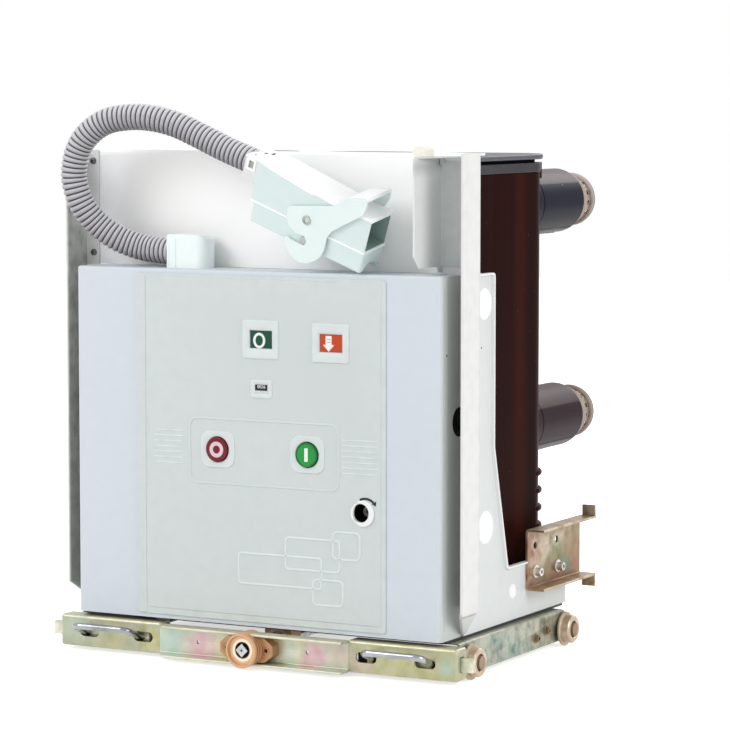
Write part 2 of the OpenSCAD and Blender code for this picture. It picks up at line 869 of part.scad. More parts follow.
// Two cheeks that turn on the plug's pin, joined by a bridge over its top
module plug_lever() {
    far = plug_y + plug_w + cheek_gap;
    near = plug_y - cheek_gap - cheek_t;
    color("#E3F2EF") on_plug() {
        for (y = [near, far]) difference() {
            plate_xz(y, cheek_t) translate(lever_pin) polygon([
                [-29, 5.5], [-27.5, -8], [-21, -17], [-11.5, -21], [-4, -21.5], [2, -21],
                [5.5, -25], [4.5, -31], [-2.5, -32], [-15.5, -32], [-20.5, -30], [-23.5, -34],
                [-20.5, -42], [-11, -49.5], [1.5, -54], [13.5, -51], [23, -43.5], [28.5, -36],
                [31, -25.5], [30.5, -10], [35, 0], [56, 22], [68.5, 34.5], [72, 47],
                [70.5, 58], [46.5, 48], [41.5, 44.5], [37.5, 38.5], [29.5, 31]
            ]);
            rod_y(lever_pin_r + pin_clear, y - over, cheek_t + 2 * over, lever_pin[0], lever_pin[1]);
        }
        plate_xz(near + touch, far - near + cheek_t - 2 * touch) translate(lever_pin) polygon([
            [41.5, 44.5], [46.5, 48], [70.5, 58], [71.2, 53], [48.5, 43.5], [44, 40]
        ]);
    }
}

front_beam_left();
front_beam_middle();
front_beam_right();
guide_bars();
racking_socket();
racking_screw();
screw_nut();
latch_left();
latch_right();
handle_left();
handle_right();
rail_left();
rail_right();
rear_crossbar();
base_plate();
axles();
wheel_front_left();
wheel_front_right();
wheel_rear_left();
wheel_rear_right();
mechanism_housing();
front_cover();
face_plate();
position_window();
spring_window();
counter_window();
trip_button();
close_button();
charging_shaft();
side_plate_left();
side_plate_right();
column_left();
column_right();
baffle_panel();
plug_holder();
rubber_bumper();
pole_left();
pole_middle();
pole_right();
pole_caps();
upper_arms();
lower_arms();
upper_contacts();
lower_contacts();
shutter_bracket_left();
shutter_bracket_right();
hose_elbow();
hose();
plug_cover();
plug_base();
plug_lever();
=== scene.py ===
"""A vacuum circuit breaker on its truck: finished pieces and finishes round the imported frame."""
import math

import bmesh
import bpy
from mathutils import Matrix, Vector


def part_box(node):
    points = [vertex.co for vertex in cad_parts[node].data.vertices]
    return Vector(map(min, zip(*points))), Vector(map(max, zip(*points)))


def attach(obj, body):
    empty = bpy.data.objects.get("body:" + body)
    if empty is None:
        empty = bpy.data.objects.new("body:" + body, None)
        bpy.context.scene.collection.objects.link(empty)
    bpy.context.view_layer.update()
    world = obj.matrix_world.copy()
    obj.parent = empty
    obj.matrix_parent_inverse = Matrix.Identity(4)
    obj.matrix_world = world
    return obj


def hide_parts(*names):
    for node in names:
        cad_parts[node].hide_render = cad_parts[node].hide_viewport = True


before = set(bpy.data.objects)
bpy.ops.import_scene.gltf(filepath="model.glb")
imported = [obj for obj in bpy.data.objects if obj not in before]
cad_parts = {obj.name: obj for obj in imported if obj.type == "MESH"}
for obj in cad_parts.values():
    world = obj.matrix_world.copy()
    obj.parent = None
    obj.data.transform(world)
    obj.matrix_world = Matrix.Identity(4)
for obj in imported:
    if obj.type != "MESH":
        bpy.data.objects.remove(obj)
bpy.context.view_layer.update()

# ---- measures: millimetres, with depths counted from the cover's face ----

MM = 0.001
MACHINE = Matrix.Translation((0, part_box("front_cover")[0].y, 0))


def at(x, y, z, place=MACHINE):
    return place @ (Vector((x, y, z)) * MM)


class Room:
    """The box of a CAD node, and its middle."""

    def __init__(self, node):
        home = MACHINE.inverted()
        self.low, self.high = ([value / MM for value in home @ corner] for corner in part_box(node))
        self.x0, self.y0, self.z0 = self.low
        self.x1, self.y1, self.z1 = self.high
        self.x, self.y, self.z = ((a + b) / 2 for a, b in zip(self.low, self.high))


cover, face, baffle, housing, elbow, holder, bumper = (Room(name) for name in (
    "front_cover", "face_plate", "baffle_panel", "mechanism_housing", "hose_elbow", "plug_holder",
    "rubber_bumper"))
column, side, rail, bracket, beam_end, tongue, handle = (Room(name + "_right") for name in (
    "column", "side_plate", "rail", "shutter_bracket", "front_beam", "latch", "handle"))
beam_mid, screw, pole, caps, upper_arms, lower_arms, upper_contacts = (Room(name) for name in (
    "front_beam_middle", "racking_screw", "pole_middle", "pole_caps", "upper_arms", "lower_arms",
    "upper_contacts"))
trip, close, shaft = (Room(name) for name in ("trip_button", "close_button", "charging_shaft"))
panes = [Room(name + "_window") for name in ("position", "spring", "counter")]
HANDS = (("left", -1), ("right", 1))
BEAM_Z, BUTTON_Z, CHARGE = beam_end.z, trip.z, (shaft.x, shaft.z)
SHEET = 3.0
BUTTON_HOLE, WELL = 15.5, 11  # radii of the openings in the cover
POLES_X = {"left": -170, "middle": 0, "right": 170}
ARM_Z = {"upper": upper_arms.z, "lower": lower_arms.z}
ARM_R = (upper_arms.z1 - upper_arms.z0) / 2

# ---- camera ----

bpy.ops.object.camera_add(location=(1.888634, -3.495261, 0.686587),
                          rotation=(math.radians(85.034), 0, math.radians(28.175)))
camera = bpy.context.object
camera.data.lens = 157.49
camera.data.sensor_width = 36
bpy.context.scene.camera = camera

# ---- working by hand ----


def only(ob=None):
    """Leaves one piece selected, or nothing."""
    if bpy.context.object and bpy.context.object.mode != "OBJECT":
        bpy.ops.object.mode_set(mode="OBJECT")
    bpy.ops.object.select_all(action="DESELECT")
    if ob:
        ob.select_set(True)
        bpy.context.view_layer.objects.active = ob
    return ob


def shift(x, y, z):
    """A move in millimetres."""
    return Matrix.Translation(Vector((x, y, z)) * MM)


def spun(degrees, axis):
    return Matrix.Rotation(math.radians(degrees), 4, axis)


def settled(ob, place=None):
    """Puts a piece in its place and leaves that place in its mesh."""
    only(ob)
    if place:
        ob.matrix_world = place @ ob.matrix_world
    bpy.ops.object.transform_apply(location=True, rotation=True, scale=True)
    return ob


def applied(ob, kind, **settings):
    only(ob)
    tool = ob.modifiers.new(kind, kind)
    for key, value in settings.items():
        setattr(tool, key, value)
    bpy.ops.object.modifier_apply(modifier=tool.name)
    return ob


class Bench:
    """A piece held in edit mode, with faces and edges picked by their place and direction."""

    def __init__(self, ob, place=MACHINE):
        self.ob, self.home = ob, place.inverted()

    def __enter__(self):
        only(self.ob)
        bpy.ops.object.mode_set(mode="EDIT")
        bpy.ops.mesh.select_all(action="DESELECT")
        return self

    def __exit__(self, *_):
        bpy.ops.object.mode_set(mode="OBJECT")

    def faces(self, test):
        bpy.ops.mesh.select_mode(type="FACE")
        mesh = bmesh.from_edit_mesh(self.ob.data)
        for item in mesh.faces:
            middle = self.home @ item.calc_center_median() / MM
            item.select_set(test(middle, self.home.to_3x3() @ item.normal))
        bmesh.update_edit_mesh(self.ob.data)

    def edges(self, test):
        bpy.ops.mesh.select_mode(type="EDGE")
        mesh = bmesh.from_edit_mesh(self.ob.data)
        for item in mesh.edges:
            a, b = (self.home @ v.co / MM for v in item.verts)
            item.select_set(test((a + b) / 2, (b - a).normalized()))
        bmesh.update_edit_mesh(self.ob.data)

    def bevel(self, width, steps):
        bpy.ops.mesh.bevel(offset=width * MM, segments=steps, affect="EDGES")


def outward(ob):
    """Makes every face look outwards."""
    with Bench(ob):
        bpy.ops.mesh.select_all(action="SELECT")
        bpy.ops.mesh.normals_make_consistent(inside=False)
    return ob


def eased(ob, width, steps=2, angle=30):
    """Rounds every edge that turns by more than the angle."""
    return applied(ob, "BEVEL", width=width * MM, segments=steps, limit_method="ANGLE",
                   angle_limit=math.radians(angle))


def named(ob, name):
    ob.name = ob.data.name = name
    return ob


def block(name, low, high, edge=0.0, steps=2, place=MACHINE):
    only()
    low, high = Vector(low) * MM, Vector(high) * MM
    bpy.ops.mesh.primitive_cube_add(size=1, location=(low + high) / 2, scale=high - low)
    ob = settled(named(bpy.context.object, name), place)
    return eased(ob, edge, steps) if edge else ob


def rod(name, radius, start, end, along="y", place=MACHINE, sides=48):
    """A round bar between two places on one axis."""
    only()
    start, end = Vector(start) * MM, Vector(end) * MM
    turn = {"x": (0, math.pi / 2, 0), "y": (math.pi / 2, 0, 0), "z": (0, 0, 0)}[along]
    bpy.ops.mesh.primitive_cylinder_add(vertices=sides, radius=radius * MM,
                                        depth=(end - start).length, location=(start + end) / 2,
                                        rotation=turn)
    return settled(named(bpy.context.object, name), place)


def bore(name, radius, x, z, start, end, **more):
    """A rod or a cutter that runs front to back."""
    return rod(name, radius, (x, start, z), (x, end, z), **more)


ALONG = {  # how a drawing's two directions and its thickness lie in the machine
    "x": Matrix(((0, 0, 1, 0), (1, 0, 0, 0), (0, 1, 0, 0), (0, 0, 0, 1))),
    "y": Matrix(((1, 0, 0, 0), (0, 0, -1, 0), (0, 1, 0, 0), (0, 0, 0, 1))),
    "z": Matrix.Identity(4),
}


def rounded(points, radius=0.0, steps=6):
    """An outline with its corners rounded; a corner may carry its own radius as a third number."""
    result = []
    count = len(points)
    for i in range(count):
        here = Vector(points[i][:2])
        r = points[i][2] if len(points[i]) > 2 else radius
        back = (Vector(points[i - 1][:2]) - here).normalized()
        ahead = (Vector(points[(i + 1) % count][:2]) - here).normalized()
        half = back.angle(ahead) / 2
        if r <= 0 or half > math.radians(89):
            result.append(tuple(here))
            continue
        reach = r / math.tan(half)
        middle = here + (back + ahead).normalized() * (r / math.sin(half))
        first, last = here + back * reach - middle, here + ahead * reach - middle
        for k in range(steps + 1):
            spot = first.normalized().slerp(last.normalized(), k / steps) * r
            result.append(tuple(middle + spot))
    return result


def box_ring(x0, z0, x1, z1, radius=0.0, steps=6):
    return rounded([(x0, z0), (x1, z0), (x1, z1), (x0, z1)], radius, steps)


def arc(u, v, radius, degrees):
    """Places on a circle at the given angles."""
    return [(u + radius * math.cos(math.radians(a)), v + radius * math.sin(math.radians(a)))
            for a in degrees]


def round_ring(x, z, rx, rz=None, sides=48):
    rz = rz or rx
    return [(x + rx * math.cos(2 * math.pi * k / sides), z + rz * math.sin(2 * math.pi * k / sides))
            for k in range(sides)]


def wire(name, lines, closed=True):
    """A curve of straight pieces through the places of each line."""
    only()
    bpy.ops.curve.primitive_bezier_circle_add()
    ob = named(bpy.context.object, name)
    ob.data.splines.clear()
    for line in lines:
        spline = ob.data.splines.new("POLY")
        spline.points.add(len(line) - 1)
        for point, spot in zip(spline.points, line):
            point.co = [value * MM for value in spot] + [1]
        spline.use_cyclic_u = closed
    return ob


def meshed():
    bpy.ops.object.convert(target="MESH")
    return bpy.context.object


WELD = 1e-6  # metres between corners that become one


def plate(name, rings, along, start, end, edge=0.0, steps=2, place=MACHINE):
    """A drawn outline, with its holes, given its thickness along one axis."""
    drawing = wire(name, [[(u, v, 0) for u, v in line] for line in rings]).data
    drawing.dimensions = "2D"
    drawing.fill_mode = "BOTH"
    thick = abs(end - start) / 2
    edge = min(edge, thick * 0.98)
    drawing.extrude = (thick - edge) * MM
    if edge:
        drawing.bevel_depth = edge * MM
        drawing.bevel_resolution = steps - 1
        drawing.offset = -edge * MM
    middle = [(start + end) / 2 if axis == along else 0 for axis in "xyz"]
    ob = settled(meshed(), place @ shift(*middle) @ ALONG[along])
    with Bench(ob):
        bpy.ops.mesh.select_all(action="SELECT")
        bpy.ops.mesh.remove_doubles(threshold=WELD)
        bpy.ops.mesh.dissolve_limited(angle_limit=math.radians(0.1))
        bpy.ops.mesh.normals_make_consistent(inside=False)
    return ob


SPUN = {**ALONG, "y": Matrix(((1, 0, 0, 0), (0, 0, 1, 0), (0, -1, 0, 0), (0, 0, 0, 1)))}


def turned(name, profile, centre, along="y", steps=48, place=MACHINE):
    """A profile of (distance along the axis, radius) turned about that axis."""
    wire(name, [[(radius, 0, reach) for reach, radius in profile]], closed=False)
    ob = meshed()
    with Bench(ob):
        bpy.ops.mesh.select_all(action="SELECT")
        bpy.ops.mesh.spin(steps=steps, angle=2 * math.pi, center=(0, 0, 0), axis=(0, 0, 1))
        bpy.ops.mesh.select_all(action="SELECT")
        bpy.ops.mesh.remove_doubles(threshold=WELD)
        bpy.ops.mesh.normals_make_consistent(inside=False)
    return settled(ob, place @ shift(*centre) @ SPUN[along])


def scrap(ob):
    bpy.data.objects.remove(ob)


def cut(ob, *cutters):
    """Cuts holes; a cutter that carries a finish leaves it on the hole's walls."""
    for cutter in cutters:
        walls = "TRANSFER" if cutter.data.materials else "INDEX"
        applied(ob, "BOOLEAN", operation="DIFFERENCE", solver="EXACT", object=cutter, material_mode=walls)
        scrap(cutter)
    return ob


def lined(ob, finish):
    ob.data.materials.append(finish)
    return ob


def kept_inside(ob, cutter):
    applied(ob, "BOOLEAN", operation="INTERSECT", solver="EXACT", object=cutter)
    scrap(cutter)
    return ob


def joined(name, *parts):
    only(parts[0])
    for part in parts:
        part.select_set(True)
    bpy.ops.object.join()
    return named(bpy.context.object, name)


def copied(ob, name, move=(0, 0, 0), turn=None):
    """A copy with its own mesh, moved, or turned by a matrix first."""
    only(ob)
    bpy.ops.object.duplicate(linked=False)
    new = named(bpy.context.object, name)
    return settled(new, shift(*move) @ (turn or Matrix.Identity(4)))


def mirrored(ob, name):
    """The same piece for the other side."""
    return outward(copied(ob, name, turn=Matrix.Scale(-1, 4, (1, 0, 0))))


def finished(ob, slot, finish, *nodes, body="truck", angle=35):
    """Gives a piece its finish and its soft shading, and lets it ride on its body."""
    if finish:
        ob.data.materials.clear()
        ob.data.materials.append(finish)
    only(ob)
    bpy.ops.object.shade_smooth_by_angle(angle=math.radians(angle))
    applied(ob, "WEIGHTED_NORMAL", keep_sharp=True, weight=50)
    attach(ob, body)
    if nodes:
        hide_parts(*nodes)
    return ob


def both_sides(make, name, slot, finish, nodes=None, body="truck", tail=""):
    """Finishes a piece made for the right side, and its mirror image."""
    right = make()
    left = mirrored(right, name + "_left" + tail)
    for ob, hand in ((right, "_right"), (left, "_left")):
        finished(named(ob, name + hand + tail), slot, finish, *([nodes + hand] if nodes else []), body=body)


def three(name, first):
    """The middle pole's piece repeated on all three poles, as one."""
    parts = [copied(first, "part", (x, 0, 0)) for x in POLES_X.values()]
    scrap(first)
    return joined(name, *parts)


# ---- finishes ----


def tint(code):
    """A colour from its six-digit code."""
    parts = [int(code[k:k + 2], 16) / 255 for k in (0, 2, 4)]
    return [c / 12.92 if c <= 0.04045 else ((c + 0.055) / 1.055) ** 2.4 for c in parts] + [1.0]


def fed(tree, new, sockets):
    """Fills a node's sockets; a value may be a number, a colour or another node's output."""
    for key, value in sockets.items():
        if isinstance(value, bpy.types.NodeSocket):
            tree.links.new(value, new.inputs[key])
        else:
            new.inputs[key].default_value = value
    return new


def node(tree, kind, sockets=None, **settings):
    new = tree.nodes.new(kind)
    for key, value in settings.items():
        setattr(new, key, value)
    return fed(tree, new, sockets or {})


def group(name, inputs, outputs, placed=True):
    """A shared effect. An input is a number, a direction (in brackets) or, with None, a colour."""
    tree = bpy.data.node_groups.new(name, "ShaderNodeTree")
    for label, value in {**({"Vector": ()} if placed else {}), **inputs}.items():
        kind = "Color" if value is None else "Vector" if isinstance(value, tuple) else "Float"
        socket = tree.interface.new_socket(label, in_out="INPUT", socket_type="NodeSocket" + kind)
        if value:
            socket.default_value = value
    for label in outputs:
        kind = "Color" if label == "Color" else "Float"
        tree.interface.new_socket(label, in_out="OUTPUT", socket_type="NodeSocket" + kind)
    return tree, tree.nodes.new("NodeGroupInput").outputs, tree.nodes.new("NodeGroupOutput").inputs


def blended(tree, factor, a, b):
    mix = node(tree, "ShaderNodeMix", data_type="RGBA")
    return fed(tree, mix, {0: factor, 6: a, 7: b}).outputs[2]


def sums(tree, operation, a, b=0.0):
    return node(tree, "ShaderNodeMath", {0: a, 1: b}, operation=operation).outputs[0]


def times(tree, a, b):
    return sums(tree, "MULTIPLY", a, b)


def vectors(tree, operation, a, b=(0, 0, 0)):
    return node(tree, "ShaderNodeVectorMath", {0: a, 1: b}, operation=operation).outputs


def spread(tree, value, low, high, to_low=0.0, to_high=1.0):
    return node(tree, "ShaderNodeMapRange", {"Value": value, "From Min": low, "From Max": high,
                                             "To Min": to_low, "To Max": to_high}).outputs[0]


def noise(tree, place, scale, detail, **more):
    sockets = {"Vector": place, "Scale": scale, "Detail": detail, **more}
    return node(tree, "ShaderNodeTexNoise", sockets).outputs["Fac"]


def cells(tree, place, scale):
    return node(tree, "ShaderNodeTexVoronoi", {"Vector": place, "Scale": scale}).outputs["Distance"]


def normal_of(tree):
    surface = node(tree, "ShaderNodeNewGeometry").outputs
    return node(tree, "ShaderNodeSeparateXYZ", {0: surface["Normal"]}).outputs


def grain_group():
    """Fine unevenness of a coat or a moulded face: a height for bump and a slow shade."""
    tree, source, result = group("Grain", {"Fine": 900.0, "Broad": 6.0}, ("Height", "Shade"))
    tree.links.new(noise(tree, source["Vector"], source["Fine"], 2.0), result["Height"])
    broad = noise(tree, source["Vector"], source["Broad"], 3.0)
    tree.links.new(spread(tree, broad, 0.3, 0.7), result["Shade"])
    return tree


def dust_group():
    """A mask of settled dust: patchy, and only on faces that look up."""
    tree, source, result = group("Dust", {"Amount": 0.3}, ("Mask",))
    patch = noise(tree, source["Vector"], 40.0, 5.0)
    mask = times(tree, spread(tree, normal_of(tree)["Z"], 0.2, 1.0), spread(tree, patch, 0.35, 0.7))
    tree.links.new(times(tree, mask, source["Amount"]), result["Mask"])
    return tree


def wear_and_highlight_group():
    """A mask of the edges, for rubbed paint and for painted highlight, broken up by noise."""
    tree, source, result = group("Edge wear", {"Amount": 0.5}, ("Mask",))
    edge = spread(tree, node(tree, "ShaderNodeNewGeometry").outputs["Pointiness"], 0.515, 0.6)
    patch = noise(tree, source["Vector"], 60.0, 4.0)
    mask = times(tree, edge, spread(tree, patch, 0.3, 0.6))
    tree.links.new(times(tree, mask, source["Amount"]), result["Mask"])
    return tree


def streak_group():
    """Long faint streaks along one direction."""
    tree, source, result = group("Streaks", {"Stretch": (60.0, 60.0, 3.0)}, ("Mask",))
    drawn = vectors(tree, "MULTIPLY", source["Vector"], source["Stretch"])[0]
    tree.links.new(spread(tree, noise(tree, drawn, 1.0, 4.0), 0.35, 0.7), result["Mask"])
    return tree


def bloom_group():
    """The rainbow bloom of passivated zinc: three tints in slow patches, with fine spangle."""
    tree, source, result = group("Zinc bloom", {"Ground": None, "Warm": None, "Rose": None, "Size": 14.0},
                                 ("Color", "Roughness", "Height"))
    slow = noise(tree, source["Vector"], source["Size"], 3.0, Distortion=0.8)
    moved = vectors(tree, "ADD", source["Vector"], (3.1, 7.7, 1.9))[0]
    other = noise(tree, moved, source["Size"], 3.0, Distortion=1.2)
    spangle = cells(tree, source["Vector"], 260.0)
    colour = blended(tree, spread(tree, slow, 0.42, 0.62), source["Ground"], source["Warm"])
    colour = blended(tree, spread(tree, other, 0.52, 0.66), colour, source["Rose"])
    shade = spread(tree, spangle, 0.0, 0.8, 0.0, 0.10)
    colour = blended(tree, shade, colour, (0.2, 0.19, 0.15, 1.0))
    tree.links.new(colour, result["Color"])
    tree.links.new(spread(tree, other, 0.3, 0.7, 0.30, 0.44), result["Roughness"])
    tree.links.new(spangle, result["Height"])
    return tree


def spot_group():
    """Tints a soft round patch about a centre, with an uneven border."""
    tree, source, result = group(
        "Tinted patch", {"Color": None, "Tint": None, "Centre": (), "Stretch": (1.0, 1.0, 1.0),
                         "Radius": 0.03, "Strength": 0.8}, ("Color",))
    away = vectors(tree, "SUBTRACT", source["Vector"], source["Centre"])[0]
    away = vectors(tree, "MULTIPLY", away, source["Stretch"])[0]
    reach = sums(tree, "DIVIDE", vectors(tree, "LENGTH", away)["Value"], source["Radius"])
    rough = noise(tree, source["Vector"], 45.0, 3.0)
    reach = sums(tree, "ADD", reach, spread(tree, rough, 0.3, 0.7, -0.35, 0.35))
    mask = times(tree, spread(tree, reach, 1.1, 0.3), source["Strength"])
    tree.links.new(blended(tree, mask, source["Color"], source["Tint"]), result["Color"])
    return tree


def band_group():
    """Tints between two places along one number, with soft borders."""
    tree, source, result = group(
        "Band", {"Color": None, "Tint": None, "Value": 0.0, "Low": 0.0, "High": 1.0, "Soft": 0.1,
                 "Strength": 1.0}, ("Color",), placed=False)
    rise, fall = (sums(tree, "DIVIDE", sums(tree, "SUBTRACT", source[a], source[b]), source["Soft"])
                  for a, b in (("Value", "Low"), ("High", "Value")))
    mask = times(tree, spread(tree, rise, -0.5, 0.5), spread(tree, fall, -0.5, 0.5))
    mask = times(tree, mask, source["Strength"])
    tree.links.new(blended(tree, mask, source["Color"], source["Tint"]), result["Color"])
    return tree


def facing_group():
    """How far a face looks up, down or sideways, each from nought to one."""
    tree, _, result = group("Facing", {}, ("Up", "Down", "Side"))
    look = normal_of(tree)
    tree.links.new(spread(tree, look["Z"], 0.1, 0.95), result["Up"])
    tree.links.new(spread(tree, look["Z"], -0.1, -0.95), result["Down"])
    tree.links.new(spread(tree, sums(tree, "ABSOLUTE", look["X"]), 0.45, 0.9), result["Side"])
    return tree


GRAIN, DUST, WEAR_AND_HIGHLIGHT, STREAKS = grain_group(), dust_group(), wear_and_highlight_group(), streak_group()
BLOOM, PATCH, BAND, FACING = bloom_group(), spot_group(), band_group(), facing_group()


class Finish:
    """A material under construction: its tree, its shader and its place on the piece."""

    def __init__(self, name, **constants):
        self.material = bpy.data.materials.new(name)
        self.material.use_nodes = True
        self.tree = self.material.node_tree
        self.tree.nodes.clear()
        self.shader = node(self.tree, "ShaderNodeBsdfPrincipled", constants)
        out = node(self.tree, "ShaderNodeOutputMaterial")
        self.tree.links.new(self.shader.outputs[0], out.inputs["Surface"])
        self.place = node(self.tree, "ShaderNodeTexCoord").outputs["Object"]

    def use(self, shared, **sockets):
        new = node(self.tree, "ShaderNodeGroup", node_tree=shared)
        if "Vector" in new.inputs:
            sockets["Vector"] = self.place
        return fed(self.tree, new, sockets).outputs

    def measure(self, axis):
        """A machine measure in millimetres: x across, y depth or z height."""
        spot = node(self.tree, "ShaderNodeSeparateXYZ", {0: self.place}).outputs[axis.upper()]
        origin = MACHINE.translation["xyz".index(axis)]
        return sums(self.tree, "DIVIDE", sums(self.tree, "ADD", spot, -origin), MM)

    def reach(self, x, z):
        """The distance in millimetres from a line that runs front to back."""
        across, up = (sums(self.tree, "SUBTRACT", self.measure(axis), value)
                      for axis, value in (("x", x), ("z", z)))
        square = sums(self.tree, "ADD", times(self.tree, across, across), times(self.tree, up, up))
        return sums(self.tree, "SQRT", square)

    def mixed(self, mask, colour, tone):
        return blended(self.tree, mask, colour, tone)

    def banded(self, colour, value, bands):
        """Tints bands of (shade, low, high, softness, strength) along a number."""
        for shade, low, high, soft, strength in bands:
            colour = self.use(BAND, Color=colour, Tint=tint(shade), Value=value, Low=low, High=high,
                              Soft=soft, Strength=strength)["Color"]
        return colour

    def striped(self, colour, bands):
        """The same, with each band naming its own direction first."""
        for axis, *band in bands:
            colour = self.banded(colour, self.measure(axis), [band])
        return colour

    # Pales the edges: partly rubbed coat or plating, partly painted highlight where light catches them.
    def worn_and_lit(self, colour, amount, tone):
        return self.mixed(self.use(WEAR_AND_HIGHLIGHT, Amount=amount)["Mask"], colour, tone)

    def speckled(self, colour, low, high, amount, tone):
        dots = spread(self.tree, cells(self.tree, self.place, 45.0), low, high)
        return self.mixed(times(self.tree, dots, amount), colour, tint(tone))

    def feed(self, **sockets):
        for key, value in sockets.items():
            self.tree.links.new(value, self.shader.inputs[key.replace("_", " ")])

    def done(self, colour, roughness, height, strength):
        """Joins the colour, the roughness and a fine relief to the shader."""
        relief = node(self.tree, "ShaderNodeBump", {"Height": height, "Strength": strength,
                                                    "Distance": 0.0002})
        self.feed(Base_Color=colour, Roughness=roughness, Normal=relief.outputs[0])
        return self.material


def toned(colour, gain, lift=0.0):
    return [min(1.0, c * gain + lift) for c in colour[:3]] + [1.0]


def coated(name, colour, shade=None, roughness=0.42, dust=0.1, wear_and_highlight=0.35, peel=0.12,
           specular=0.3, side=None, bands=(), inner=None):
    """Powder coat or moulded plastic: slow shade, fine peel, dust above, and paler edges that are partly
    rubbed and partly painted highlight.
    """
    f = Finish(name, **{"Specular IOR Level": specular})
    colour = tint(colour)
    shade = tint(shade) if shade else toned(colour, 0.93)
    grain = f.use(GRAIN, Fine=900.0)
    base = f.mixed(grain["Shade"], shade, colour)
    if side:  # painted shade on the sides, darker in bands from front to back
        tone = f.banded(tint(side[0]), f.measure("y"), side[1:])
        base = f.mixed(f.use(FACING)["Side"], base, tone)
    if inner:  # painted shade on the inward faces of a sheet
        away = sums(f.tree, "ABSOLUTE", f.measure("x"))
        mask = times(f.tree, f.use(FACING)["Side"], spread(f.tree, away, inner[1], inner[1] - 0.4))
        base = f.mixed(mask, base, tint(inner[0]))
    base = f.worn_and_lit(f.striped(base, bands), wear_and_highlight, toned(colour, 1.12, 0.03))
    dusty = f.use(DUST, Amount=dust)["Mask"]
    base = f.mixed(dusty, base, tint("B9B4A8"))
    return f.done(base, spread(f.tree, dusty, 0.0, 0.6, roughness, 0.75), grain["Height"], peel)


def clean(name, colour, shade=None, roughness=0.6, **more):
    """A coat without dust or worn edges."""
    return coated(name, colour, shade, roughness, dust=0, wear_and_highlight=0, **more)


def zinc(name, ground, warm, rose, size=14.0, patches=(), bands=()):
    """Passivated zinc plate with its rainbow bloom."""
    f = Finish(name, Metallic=0.45)
    bloom = f.use(BLOOM, Ground=tint(ground), Warm=tint(warm), Rose=tint(rose), Size=size)
    colour = bloom["Color"]
    for shade, centre, stretch, radius, strength in patches:
        colour = f.use(PATCH, Color=colour, Tint=tint(shade), Centre=at(*centre), Stretch=stretch,
                       Radius=radius * MM, Strength=strength)["Color"]
    colour = f.worn_and_lit(f.striped(colour, bands), 0.8, tint("EDE6D2"))
    colour = f.mixed(f.use(DUST, Amount=0.1)["Mask"], colour, tint("A8A290"))
    return f.done(colour, bloom["Roughness"], bloom["Height"], 0.08)


def bare(name, colour, dark, metallic=1.0, low=0.2, high=0.4, stretch=(40.0, 40.0, 40.0),
         centre=None, rings=()):
    """Bare or plated metal with drawn marks."""
    f = Finish(name, Metallic=metallic)
    marks = f.use(STREAKS, Stretch=stretch)["Mask"]
    colour = tint(colour)
    base = f.mixed(marks, colour, tint(dark))
    # Rings about a centre paint light and shade onto the face.
    if centre:
        base = f.banded(base, f.reach(*centre), rings)
    base = f.worn_and_lit(base, 0.5, toned(colour, 1.25, 0.05))
    return f.done(base, spread(f.tree, marks, 0.0, 1.0, low, high), marks, 0.05)


def resin(name, colour, streak, bands):
    """Cast resin: dark and glossy, with upright flow streaks, bands of painted reflection and shade from
    front to back, and a few pale specks.
    """
    f = Finish(name, **{"Specular IOR Level": 0.006})
    lines = f.use(STREAKS, Stretch=(70.0, 70.0, 2.0))["Mask"]
    base = f.mixed(times(f.tree, lines, 0.5), tint(colour), tint(streak))
    base = f.speckled(f.banded(base, f.measure("y"), bands), 0.04, 0.02, 0.3, "9A8A84")
    height = f.use(GRAIN, Fine=300.0)["Height"]
    return f.done(base, spread(f.tree, lines, 0.0, 1.0, 0.26, 0.36), height, 0.04)


def sleeve_finish(name, axis_z, colour, bands):
    """Sleeve rubber: satin, with painted reflections and shade in long soft bands round its girth."""
    f = Finish(name, **{"Specular IOR Level": 0.02})
    height = sums(f.tree, "DIVIDE", sums(f.tree, "SUBTRACT", f.measure("z"), axis_z), ARM_R)
    base = f.speckled(f.banded(tint(colour), height, bands), 0.05, 0.03, 0.6, "C4BEBC")
    grain = f.use(GRAIN, Fine=400.0)
    return f.done(base, spread(f.tree, grain["Shade"], 0.0, 1.0, 0.35, 0.45), grain["Height"], 0.05)


# The cover's sides get painted shade, darker in steps towards the column.
COVER = coated("Cover paint", "D2D9E0", "D0D8DF", roughness=0.4, peel=0.02, wear_and_highlight=0.2, side=(
    "CDD2CF", ("CCD2CF", 14, 80, 16, 1.0), ("C8CECC", 26, 80, 14, 1.0), ("C2C8C7", 38, 80, 12, 1.0)))
# All four face finishes pale their edges strongly as painted highlight; the relief, the surrounds and the
# faint relief are also lighter copies of the plate's colour, painted highlight on the raised moulding.
PLATE = coated("Face plate", "CED5D4", "CCD3D2", roughness=0.45, peel=0.02, wear_and_highlight=1.0)
LIT_RELIEF = coated("Face relief, painted highlight", "DDE4E3", "D9E0DF", roughness=0.4, peel=0.02, wear_and_highlight=1.0)
LIT_SURROUND = coated("Face surrounds, painted highlight", "D7DEDD", "D4DBDA", roughness=0.4, peel=0.02, wear_and_highlight=1.0)
FAINT_LIT_RELIEF = coated("Faint relief, painted highlight", "D2D9D8", "CFD6D5", roughness=0.42, peel=0.02, wear_and_highlight=1.0)
SIDE = coated("Side paint", "DEE2E1", "D9DDDC", roughness=0.42)
# A paler copy of the side paint: painted highlight on the folded rim.
LIT_SIDE_RIM = coated("Side rim, painted highlight", "F6F7F6", "F2F3F2", roughness=0.42)
SIDE_CAP = coated("Side caps", "FFFFFF", "FCFCFC", roughness=0.35, dust=0)
